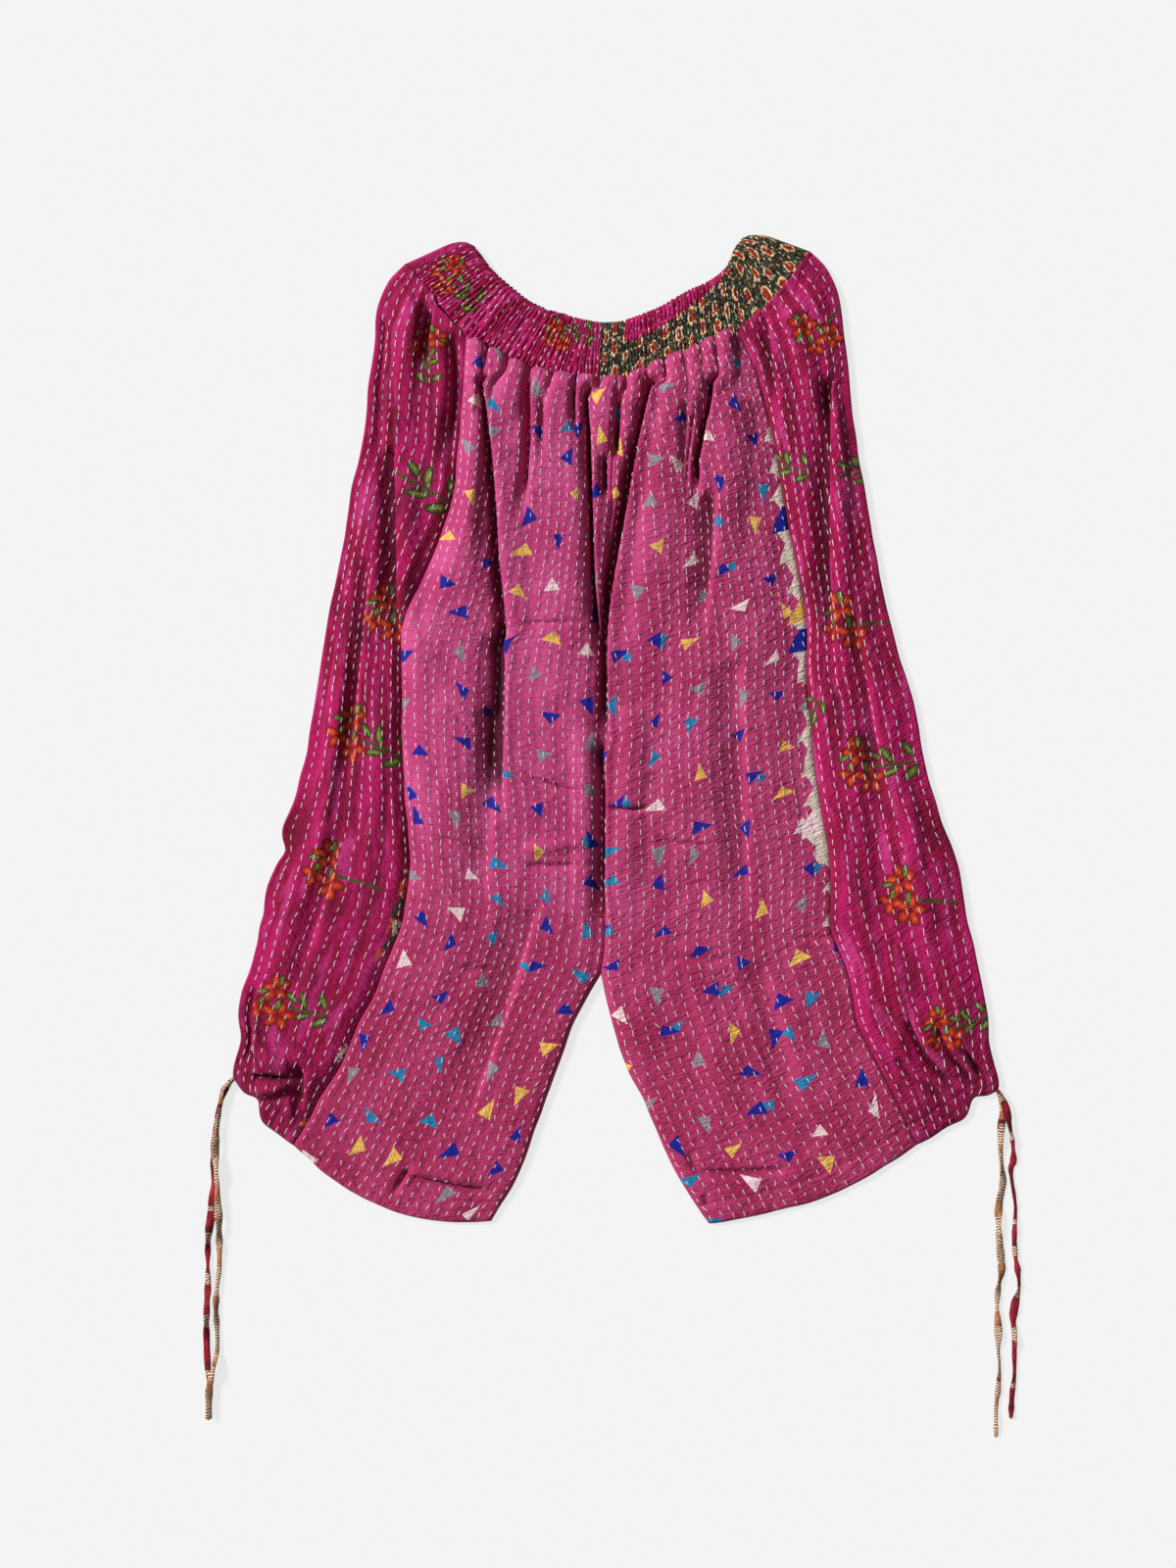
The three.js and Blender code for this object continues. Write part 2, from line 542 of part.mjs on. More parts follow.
function bandHeight(station, share) {
  const fromEnd = Math.min(station, LAST_STATION - station) * BAND_LENGTH_PER_STATION - ROLL_RADIUS;
  return mix(LIE, frontHeight(bandPoint(station, share)), smooth(fromEnd / OUTER_EASE));
}

function clothOnBand(station, share) {
  const point = bandPoint(station, share);
  const at = [...point, bandHeight(station, share)];
  if (Math.abs(at[2] - frontHeight(point)) < 0.001) return { at, normal: frontNormal(point) };
  const near = Math.min(LAST_STATION - 0.1, Math.max(0.1, station));
  return { at, normal: slopeNormal(bandPoint, bandHeight, near, share, 0.08, 0.05) };
}

/** A column of the band's front at a station, over a share of its height. */
function bandColumn(station, low, high) {
  return steps(low, high, BAND_ROWS).map((share) => clothOnBand(station, share));
}

/** The rolled end of the band, from its front round to a short stretch underneath. */
function bandEnd(end) {
  const inward = end === 0 ? 1 : -1;
  const shares = steps(SHARE_GAP, 1, BAND_ROWS);
  const roll = shares.map((share) => {
    const edge = bandPoint(end, share);
    const before = bandPoint(end + inward * 0.5, share);
    const reach = span(before, edge);
    return rollPoints(edge, [(edge[0] - before[0]) / reach, (edge[1] - before[1]) / reach]);
  });
  const rollColumns = roll[0].map((_, i) => roll.map((points) => points[i]));
  const under = steps(end + inward * 0.5, end + inward * UNDER_STATION, 2).map((station) =>
    shares.map((share) => ({ at: [...bandPoint(station, share), WALL / 2], normal: [0, 0, -1] })),
  );
  return [...rollColumns, ...under];
}

/** How much of the band's height the pieced strip takes at a station, and 0 beyond its ends. */
function stripShare(station) {
  const first = EDGE_STRIP[0].station;
  const last = EDGE_STRIP[EDGE_STRIP.length - 1].station;
  if (station < first || station > last) return 0;
  return through(EDGE_STRIP.map((row) => row.station), EDGE_STRIP.map((row) => row.share), station);
}

/** Two stations and the band's steps between them, so that its edge has the same corners as a front's. */
function bandStations(first, last) {
  const count = Math.round((BAND.length - 1) / BAND_STEP);
  const between = steps(0, BAND.length - 1, count).filter(
    (station) => station > Math.min(first, last) + 0.1 && station < Math.max(first, last) - 0.1,
  );
  return [first, ...(last < first ? between.reverse() : between), last];
}

function bandFrontLeft() {
  const stations = bandStations(PRINT_STATION - SEAM_STATIONS, END_STATIONS);
  const over = stations.map((station) => bandColumn(station, SHARE_GAP, 1));
  return wall([...over, ...bandEnd(0)]);
}

function bandFrontRight() {
  const first = EDGE_STRIP[0].station;
  const last = EDGE_STRIP[EDGE_STRIP.length - 1].station;
  const before = bandStations(PRINT_STATION + SEAM_STATIONS, first - 2 * SEAM_STATIONS);
  const beside = bandStations(first, last);
  const after = bandStations(last + 2 * SEAM_STATIONS, LAST_STATION - END_STATIONS);
  const top = (station) => 1 - (stripShare(station) > 0 ? stripShare(station) + SHARE_GAP : 0);
  const stations = [...before, ...beside, ...after];
  const over = stations.map((station) => bandColumn(station, SHARE_GAP, top(station)));
  return wall([...over, ...bandEnd(LAST_STATION)]);
}

function bandEdgeStrip() {
  const first = EDGE_STRIP[0].station + 2 * SEAM_STATIONS;
  const last = EDGE_STRIP[EDGE_STRIP.length - 1].station - 2 * SEAM_STATIONS;
  const low = (station) => 1 - stripShare(station) + SHARE_GAP;
  return wall(bandStations(first, last).map((station) => bandColumn(station, low(station), 1)));
}

function bandBack() {
  const gap = 2 * SEAM_STATIONS;
  const inside = steps(2, LAST_STATION - 2, 2 * (LAST_STATION - 4));
  const stations = [UNDER_STATION + gap, ...inside, LAST_STATION - UNDER_STATION - gap];
  const lower = stations.map((station) => bandPoint(station, SHARE_GAP));
  const upper = stations.map((station) => bandPoint(station, 0.97));
  return flatPiece([...lower, ...upper.reverse()]);
}

// ---- Ties ----

/** A tie: a flat oval tape along its route. */
function tie(route) {
  const path = new THREE.CatmullRomCurve3(route.map((point) => new THREE.Vector3(...point)));
  const corners = steps(0, 2 * Math.PI, 8).slice(0, -1);
  const section = corners.map(
    (angle) => new THREE.Vector2((TIE_THICKNESS / 2) * Math.cos(angle), (TIE_WIDTH / 2) * Math.sin(angle)),
  );
  const shape = new THREE.Shape(section);
  return new THREE.ExtrudeGeometry(shape, { steps: TIE_STEPS, extrudePath: path, bevelEnabled: false });
}

// ---- The garment ----

const garment = new THREE.Group();

function add(name, geometry, colour, roughness = 0.85) {
  const material = new THREE.MeshStandardMaterial({ color: colour, roughness, metalness: 0 });
  const mesh = new THREE.Mesh(geometry, material);
  mesh.name = name;
  garment.add(mesh);
}

const ROSE = 0xb83f77;
const MAGENTA = 0xa81862;
const LEAF_PRINT = 0x3c4630;
const TAN = 0xa87850;
const DARK_RED = 0x8c1830;

for (const [name, leg] of Object.entries(LEGS)) {
  add(`front_${name}`, frontPanel(leg), ROSE);
  add(`side_${name}`, sidePanel(leg), MAGENTA);
  add(`back_${name}`, backPanel(leg), ROSE);
}
add('waistband_front_left', bandFrontLeft(), MAGENTA);
add('waistband_front_right', bandFrontRight(), LEAF_PRINT);
add('waistband_edge_strip', bandEdgeStrip(), MAGENTA);
add('waistband_back', bandBack(), MAGENTA);
for (const [name, route] of Object.entries(TIES)) {
  add(name, tie(route), name.endsWith('tan') ? TAN : DARK_RED, 0.9);
}

export default garment;
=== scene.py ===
# %% [markdown]
# # Quilted patchwork capri trousers, laid flat
#
# A pair of wide capri trousers lies face up on a table. Two old cotton sarees were laid on each other and
# quilted with thousands of running stitches, then cut into panels: rose fronts with a scatter of small
# triangles, magenta sides with flowers, and a shirred waistband that is magenta on one half and dark green on
# the other. The hems are drawn in with narrow tapes.
#
# The lesson builds the cloth as thin shells that are shaped by short tables of sizes, then sews the stitches
# on as small meshes, and last paints the prints as procedural materials on the cloth's own UV map.

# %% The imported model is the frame
import math

import bmesh
import bpy
import numpy as np
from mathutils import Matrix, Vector


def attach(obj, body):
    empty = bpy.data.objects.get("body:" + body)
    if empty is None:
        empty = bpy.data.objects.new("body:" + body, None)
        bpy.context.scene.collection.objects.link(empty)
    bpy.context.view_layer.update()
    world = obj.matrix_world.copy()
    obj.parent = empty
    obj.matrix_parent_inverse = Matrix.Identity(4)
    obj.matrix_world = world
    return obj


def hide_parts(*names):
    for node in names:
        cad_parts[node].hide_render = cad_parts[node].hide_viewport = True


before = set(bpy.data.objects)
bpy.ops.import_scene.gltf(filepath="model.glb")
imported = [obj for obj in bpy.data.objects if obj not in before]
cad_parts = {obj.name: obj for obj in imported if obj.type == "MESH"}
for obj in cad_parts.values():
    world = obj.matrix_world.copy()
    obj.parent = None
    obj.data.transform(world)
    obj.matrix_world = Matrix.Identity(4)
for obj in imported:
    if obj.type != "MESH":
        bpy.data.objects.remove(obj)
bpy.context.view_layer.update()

MM = 0.001
BODY = "root"

# %% [markdown]
# ## Camera
#
# The garment is looked at from straight above, from far enough away that the legs keep their true
# proportions. The field of view follows from the width of table to show and the height of the camera, so
# the framing can be changed in one place.

# %% Camera straight above the table
VIEW_CENTRE = (-25.5 * MM, -49.3 * MM)
VIEW_HEIGHT = 1.36          # metres of table along the long side of the picture
CAMERA_HEIGHT = 2.4

camera_data = bpy.data.cameras.new("camera")
camera_data.sensor_width = 36
camera_data.lens = 36 * CAMERA_HEIGHT / VIEW_HEIGHT
camera = bpy.data.objects.new("camera", camera_data)
camera.location = (*VIEW_CENTRE, CAMERA_HEIGHT)
bpy.context.collection.objects.link(camera)
bpy.context.scene.camera = camera
print("lens, mm:", round(camera_data.lens, 1))

# %% [markdown]
# ## Small helpers
#
# Everything on the garment is a soft curve through a few sizes. One function draws a smooth curve through the
# rows of a table, and it works on whole arrays, so that a panel's thousands of points are placed at once.


# %% Curves through tables
def smooth(value):
    """Eases from 0 to 1."""
    value = np.clip(value, 0, 1)
    return value * value * (3 - 2 * value)


def mix(a, b, share):
    return a + (b - a) * share


def through(keys, values, at):
    """A smooth curve through a table: keys in rising order, the values there, read at an array of keys."""
    keys = np.asarray(keys, float)
    values = np.asarray(values, float)
    last = len(keys) - 1
    before = np.maximum(np.arange(last + 1) - 1, 0)
    after = np.minimum(np.arange(last + 1) + 1, last)
    slopes = (values[after] - values[before]) / (keys[after] - keys[before])
    i = np.clip(np.searchsorted(keys, at, side="left") - 1, 0, last - 1)
    width = keys[i + 1] - keys[i]
    s = np.clip((at - keys[i]) / width, 0, 1)
    ease = s * s * (3 - 2 * s)
    bend = slopes[i] * s * (1 - s) ** 2 - slopes[i + 1] * s * s * (1 - s)
    return mix(values[i], values[i + 1], ease) + width * bend


def soft_noise(x, y, size, seed):
    """Smooth random hills between -1 and 1 over the plane, about `size` across."""
    corners = np.random.default_rng(seed).uniform(-1, 1, (64, 64))
    column, row = np.floor(x / size).astype(int), np.floor(y / size).astype(int)
    s, t = smooth(x / size - column), smooth(y / size - row)
    pick = lambda dx, dy: corners[(row + dy) % 64, (column + dx) % 64]
    return mix(mix(pick(0, 0), pick(1, 0), s), mix(pick(0, 1), pick(1, 1), s), t)


# %% [markdown]
# ## The ties
#
# Each hem is drawn in by two narrow cotton tapes, whose free ends lie on the table in loose waves. A tape is a
# long thin thing on a route, so a strip is rolled into a tube round the route. The tube is flat, and it turns
# a little this way and that along its length, because a folded and stitched tape never lies quite flat.

# %% Tape sizes and routes
TAPE_THICKNESS = 3 * MM
ON_TABLE = 1.6              # millimetres, height of the middle of a tape that lies on the table
ON_TAPE = 4.9               # the same on top of another tape

TIES = {
    "tie_left_tan": [
        (-330.7, -303, ON_TAPE), (-336, -307, ON_TAPE), (-341, -314, ON_TAPE), (-344, -328, ON_TAPE),
        (-347, -349, ON_TAPE), (-348, -370, ON_TAPE), (-347, -391, ON_TAPE), (-346, -410, ON_TAPE),
        (-345, -428, ON_TAPE), (-345, -445, 2.6), (-345, -466, ON_TABLE), (-347, -486, ON_TABLE),
        (-348, -504, ON_TABLE), (-347, -524, ON_TABLE), (-347, -540, 2.4), (-350, -556, ON_TAPE),
        (-353, -570, ON_TAPE), (-354, -600, ON_TAPE),
    ],
    "tie_left_red": [
        (-330.7, -303, ON_TABLE), (-336, -308, ON_TABLE), (-341, -316, ON_TABLE), (-345, -330, ON_TABLE),
        (-348, -350, ON_TABLE), (-350, -371, ON_TABLE), (-350, -391, ON_TABLE), (-351, -410, ON_TABLE),
        (-352, -422, ON_TABLE), (-354, -436, ON_TABLE), (-355, -452, ON_TABLE), (-355, -466, ON_TABLE),
        (-355, -486, ON_TABLE), (-356, -505, ON_TABLE), (-356, -534, ON_TABLE), (-355, -556, ON_TABLE),
        (-354, -572, ON_TABLE), (-354, -600, ON_TABLE),
    ],
    "tie_right_tan": [
        (328.1, -313.5, ON_TABLE), (331, -319, ON_TABLE), (334, -329, ON_TABLE), (333, -343, ON_TABLE),
        (332, -354, ON_TABLE), (332, -366, ON_TABLE), (333, -381, ON_TABLE), (334, -395, ON_TABLE),
        (331, -411, ON_TABLE), (330, -428, ON_TABLE), (331, -444, ON_TABLE), (332, -457, ON_TABLE),
        (333, -471, ON_TABLE), (330, -486, ON_TABLE), (329, -502, ON_TABLE), (330, -521, ON_TABLE),
        (330, -539, ON_TABLE), (331, -555, ON_TABLE), (330, -573, ON_TABLE), (328, -593, ON_TABLE),
        (328, -616, ON_TABLE),
    ],
    "tie_right_red": [
        (328.1, -313.5, ON_TAPE), (331.5, -318, ON_TAPE), (335, -326, ON_TAPE), (338, -338, ON_TAPE),
        (341, -352, 3.6), (343, -366, ON_TABLE), (343, -377, ON_TABLE), (341, -382, ON_TABLE),
        (342, -394, ON_TABLE), (344, -407, ON_TABLE), (345, -418, ON_TABLE), (344, -441, ON_TABLE),
        (345, -459, ON_TABLE), (347, -471, ON_TABLE), (348, -485, ON_TABLE), (345, -498, ON_TABLE),
        (343, -512, ON_TABLE), (344, -525, ON_TABLE), (344, -543, ON_TABLE), (344, -562, ON_TABLE),
        (342, -578, ON_TABLE), (341, -600, ON_TABLE),
    ],
}


# %% A flat grid of cloth, put in place point by point
def shell(name, columns, rows, place, cloth=None, wall=None):
    """A new mesh object from a flat grid. Its points have s and t from 0 to 1; place(s, t) gives each one its
    position, and cloth(s, t) its place on the flat cloth, in millimetres, which becomes the UV map in metres."""
    bm = bmesh.new()
    bmesh.ops.create_grid(bm, x_segments=columns, y_segments=rows, size=0.5)
    mesh = bpy.data.meshes.new(name)
    bm.to_mesh(mesh)
    bm.free()
    count = len(mesh.vertices)
    flat = np.empty(count * 3)
    mesh.vertices.foreach_get("co", flat)
    s, t = flat[0::3] + 0.5, flat[1::3] + 0.5
    mesh.vertices.foreach_set("co", np.stack(place(s, t), axis=1).ravel() * MM)
    mesh.polygons.foreach_set("use_smooth", np.ones(len(mesh.polygons), bool))
    corners = np.empty(len(mesh.loops), int)
    mesh.loops.foreach_get("vertex_index", corners)
    layer = mesh.uv_layers.new(name="cloth")
    u, v = cloth(s, t) if cloth else (s, t)
    layer.data.foreach_set("uv", np.stack([u[corners], v[corners]], axis=1).ravel() * MM)
    mesh.update()
    piece = bpy.data.objects.new(name, mesh)
    bpy.context.collection.objects.link(piece)
    if wall:
        solidify = piece.modifiers.new("wall", "SOLIDIFY")
        solidify.thickness = wall * MM
        solidify.offset = 0
        solidify.use_even_offset = False
    return piece


def turn_outwards(piece, top):
    """Turns a shell's faces so that, taken together, they point up where `top` is true, or else down."""
    mesh = piece.data
    normals = np.empty(len(mesh.polygons) * 3)
    mesh.polygons.foreach_get("normal", normals)
    up = normals[2::3].sum() > 0
    if up != top:
        mesh.flip_normals()


# %% Tapes
def route_curve(points, count):
    """Evenly read points of a smooth curve through a route, in millimetres."""
    points = np.asarray(points, float)
    steps = np.linalg.norm(np.diff(points, axis=0), axis=1)
    keys = np.concatenate([[0], np.cumsum(steps)])
    at = np.linspace(0, keys[-1], count)
    return np.stack([through(keys, points[:, axis], at) for axis in range(3)], axis=1), keys[-1]


def tape(name, route, seed):
    line, length = route_curve(route, 181)
    random = np.random.default_rng(seed)
    phase = random.uniform(0, 2 * math.pi, 4)
    way = np.linspace(0, length, len(line))
    turn = 0.6 * np.sin(way / 13 + phase[0]) + 0.4 * np.sin(way / 5.5 + phase[1])
    pinch = soft_noise(way, 0 * way, 21, seed + 60) + 0.5 * soft_noise(way, 0 * way, 8, seed + 70)
    half_width = np.clip(2.7 + 1.1 * pinch, 1.4, 3.7) * (0.7 + 0.3 * smooth(way / 16))
    half_thick = 1.15 + 0.2 * np.sin(way / 4 + phase[3])
    lift = np.abs(np.sin(turn)) * (half_width - half_thick) * 0.6
    line[:, 2] += lift
    forward = np.gradient(line, axis=0)
    forward /= np.linalg.norm(forward, axis=1)[:, None]
    across = np.cross(forward, [0, 0, 1.0])
    across /= np.linalg.norm(across, axis=1)[:, None]
    above = np.cross(across, forward)

    def place(s, t):
        at = t * (len(line) - 1)
        i = np.clip(np.round(at).astype(int), 0, len(line) - 1)
        angle = s * 2 * math.pi
        ends = np.sqrt(np.clip(1 - (1 - np.minimum(t, 1 - t) * length / 1.5) ** 2, 0, 1))
        ends = np.where(np.minimum(t, 1 - t) * length < 1.5, ends, 1)
        x = half_width[i] * np.cos(angle) * ends
        z = half_thick[i] * np.sin(angle) * ends
        right = x * np.cos(turn[i]) - z * np.sin(turn[i])
        high = x * np.sin(turn[i]) + z * np.cos(turn[i])
        point = line[i] + across[i] * right[:, None] + above[i] * high[:, None]
        return point[:, 0], point[:, 1], np.maximum(point[:, 2], 0.05)

    piece = shell(name + "_tape", 14, len(line) - 1, place, lambda s, t: (s * 16, t * length))
    bm = bmesh.new()
    bm.from_mesh(piece.data)
    bmesh.ops.remove_doubles(bm, verts=bm.verts, dist=0.01 * MM)
    bmesh.ops.recalc_face_normals(bm, faces=bm.faces)
    bm.to_mesh(piece.data)
    bm.free()
    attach(piece, BODY)
    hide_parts(name)
    [c * MM for c in line[0]]
    (line * MM).tolist()
    return piece


ties = {name: tape(name, route, seed) for seed, (name, route) in enumerate(TIES.items())}

# %% [markdown]
# ## The cut of the garment
#
# A tailor would describe a leg by a few sections across it: where each one meets the centre seam or inner
# leg, the front side seam and the outer edge. These tables do the same, in millimetres on the table, with the
# waist up. "Along" runs from the waist seam, 0, to the hem, 1, and "across" from 0 at the centre, through 1 at
# the side seam, to 2 at the outer edge. The waistband has stations from its left fold to its right fold.

# %% Tables of the cut
WALL = 1.6                  # two layers of cotton, quilted together
ROLL = 2.4                  # radius of the middle of the wall where a side rolls under
LIE = WALL / 2 + 2 * ROLL   # height of the front wall's middle where it is smooth
PRESSED = 2.7               # the same where the front is pressed on the back
CROTCH = 0.682              # how far down the leg the centre seam ends
BAND_EASE = 0.12            # how far down the leg the waist seam's curve still shows
CENTRE_STATION = 8

# along, inner x, inner y, seam x, seam y, outer x, outer y, sag towards the hem
LEFT_LEG = np.array([
    (0.000, 0, 298, -130, 337, -184, 400, 0),
    (0.030, 1, 276, -132, 315, -198, 385, 3),
    (0.060, 1, 253, -134, 293, -207, 363, 6),
    (0.120, 1, 208, -137, 249, -211, 320, 3),
    (0.200, -3, 149, -144, 191, -218, 263, 0),
    (0.280, -5, 89, -163, 137, -230, 206, 0),
    (0.360, -7, 29, -184, 81, -238, 148, 0),
    (0.440, -8, -31, -186, 24, -249, 91, 0),
    (0.520, -8, -91, -185, -35, -259, 33, 0),
    (0.600, -9, -150, -181, -94, -269, -24, 0),
    (0.640, -10, -181, -179, -122, -276, -52, 0),
    (0.682, -14, -212, -184, -153, -286, -81, 0),
    (0.720, -28, -236, -190, -179, -292, -110, 0),
    (0.760, -42, -263, -201, -207, -300, -134, 4),
    (0.800, -52, -291, -212, -234, -308, -158, 6),
    (0.840, -61, -319, -226, -259, -313, -190, 8),
    (0.920, -81, -376, -250, -312, -326, -247, 14),
    (1.000, -110, -428, -280, -363, -329, -304, 20),
])
RIGHT_LEG = np.array([
    (0.000, 0, 298, 104, 343, 167, 411, 0),
    (0.030, 1, 276, 114, 323, 181, 396, 0),
    (0.060, 1, 253, 122, 303, 191, 374, 0),
    (0.120, 1, 208, 133, 260, 198, 330, 0),
    (0.200, -3, 149, 143, 202, 203, 270, 0),
    (0.280, -5, 89, 154, 145, 213, 211, 0),
    (0.360, -7, 29, 163, 88, 222, 152, 0),
    (0.440, -8, -31, 164, 29, 235, 94, 0),
    (0.520, -8, -91, 171, -29, 252, 36, 0),
    (0.600, -9, -150, 180, -87, 264, -23, 0),
    (0.640, -10, -181, 183, -116, 271, -51, 0),
    (0.682, -14, -212, 184, -146, 281, -82, 0),
    (0.720, -8, -241, 185, -174, 292, -108, 0),
    (0.760, 0, -269, 195, -201, 298, -138, 2),
    (0.800, 9, -298, 203, -230, 302, -167, 4),
    (0.840, 24, -324, 208, -258, 309, -197, 6),
    (0.920, 49, -379, 235, -310, 320, -255, 9),
    (1.000, 80, -429, 259, -362, 326, -313, 13),
])
# lower edge x, lower edge y, upper edge x, upper edge y, one row for each station
BAND = np.array([
    (-184, 400, -132, 424), (-169, 383, -122, 413), (-154, 366, -110, 397), (-130, 337, -94, 382),
    (-105, 321, -72, 366), (-75, 307, -49, 358), (-46, 301, -30, 353), (-19, 299, -15, 350),
    (0, 298, 2, 351), (21, 305, 19, 356), (42, 315, 39, 365), (64, 323, 60, 377),
    (83, 333, 78, 385), (104, 343, 93, 396), (126, 360, 101, 412), (147, 383, 108, 422),
    (167, 411, 118, 429),
])
LAST_STATION = len(BAND) - 1
FRONT_CUT = 182             # millimetres of cloth across a front, side seam to inner leg
SIDE_CUT = 100              # the same across the visible part of a side
LEG_CUT = 745               # millimetres of cloth from the waist seam to the hem
BAND_CUT = 400              # seen length of the shirred band
BAND_HIGH = 52


# Where the drawstrings, and creases in the outer edge, pull the outline out of line: x, y, pull in x and y, reach.
TUGS = [
    (-291, -107, 3.4, 0.0, 8), (-285, -90, -1.5, 0.0, 10), (-301, -163, 3.8, 0.0, 9), (-298, -140, -2.0, 0.0, 11),
    (-332, -300, -3.0, 0.5, 15), (-314, -326, 4.0, 6.0, 9), (-303, -338, -1.5, -2.0, 10), (-328, -268, 3.0, 0.0, 14),
    (330, -308, 3.0, 0.5, 13), (311, -325, -4.0, 6.5, 9), (297, -334, 1.0, -2.5, 10), (323, -272, -2.5, 0.0, 14),
]


# %% Points of the cut
def tugged(x, y):
    """Moves points of the table by the pulls in the table above."""
    pulls = [(np.exp(-((x - tx) ** 2 + (y - ty) ** 2) / reach ** 2), dx, dy) for tx, ty, dx, dy, reach in TUGS]
    return x + sum(near * dx for near, dx, dy in pulls), y + sum(near * dy for near, dx, dy in pulls)


def band_point(station, share):
    """Station along the band, and share 0 to 1 from its sewn edge to its upper edge."""
    keys = np.arange(LAST_STATION + 1)
    lower = [through(keys, BAND[:, column], station) for column in (0, 1)]
    upper = [through(keys, BAND[:, column], station) for column in (2, 3)]
    return [mix(a, b, share) for a, b in zip(lower, upper)]


class Leg:
    def __init__(self, side, rows, seam_station, end_station):
        self.side, self.rows = side, rows
        self.seam_station, self.end_station = seam_station, end_station

    def section(self, along):
        keys = self.rows[:, 0]
        upper, lower = self.rows[keys <= CROTCH], self.rows[keys >= CROTCH]
        lines = {}
        for name, column in (("inner", 1), ("seam", 3), ("outer", 5)):
            lines[name] = [through(keys, self.rows[:, column + axis], along) for axis in (0, 1)]
        above = [through(upper[:, 0], upper[:, 1 + axis], along) for axis in (0, 1)]
        below = [through(lower[:, 0], lower[:, 1 + axis], along) for axis in (0, 1)]
        lines["inner"] = [np.where(along <= CROTCH, a, b) for a, b in zip(above, below)]
        lines["sag"] = through(keys, self.rows[:, 7], along)
        return lines

    def point(self, along, across):
        """Where the leg's cloth lies on the table, before it is folded."""
        along, across = np.asarray(along, float), np.asarray(across, float)
        lines = self.section(along)
        on_side = across > 1
        share = np.where(on_side, across - 1, across)
        start = [np.where(on_side, b, a) for a, b in zip(lines["inner"], lines["seam"])]
        end = [np.where(on_side, b, a) for a, b in zip(lines["seam"], lines["outer"])]
        length = np.hypot(end[0] - start[0], end[1] - start[1])
        bow = np.where(on_side, 0.25, 1) * lines["sag"] * 4 * share * (1 - share)
        x = mix(start[0], end[0], share) + self.side * (end[1] - start[1]) / length * bow
        y = mix(start[1], end[1], share) - self.side * (end[0] - start[0]) / length * bow
        station = np.where(on_side, mix(self.seam_station, self.end_station, share),
                           mix(CENTRE_STATION, self.seam_station, share))
        target = band_point(station, 0)
        first = self.rows[0]
        top = [np.where(on_side, mix(first[3 + axis], first[5 + axis], share),
                        mix(first[1 + axis], first[3 + axis], share)) for axis in (0, 1)]
        pull = np.clip(1 - along / BAND_EASE, 0, 1) ** 2
        uneven = smooth((along - 0.02) / 0.08)
        sway = [1.6 * soft_noise(x, y, 58, seed) + 0.9 * soft_noise(x, y, 21, seed + 1) for seed in (101, 103)]
        return tugged(x + (target[0] - top[0]) * pull + sway[0] * uneven,
                      y + (target[1] - top[1]) * pull + sway[1] * uneven)


LEGS = {"left": Leg(-1, LEFT_LEG, 3, 0), "right": Leg(1, RIGHT_LEG, 13, LAST_STATION)}
print("hem width of the left leg, mm:", round(float(np.hypot(*(LEFT_LEG[-1][5:7] - LEFT_LEG[-1][1:3])))))
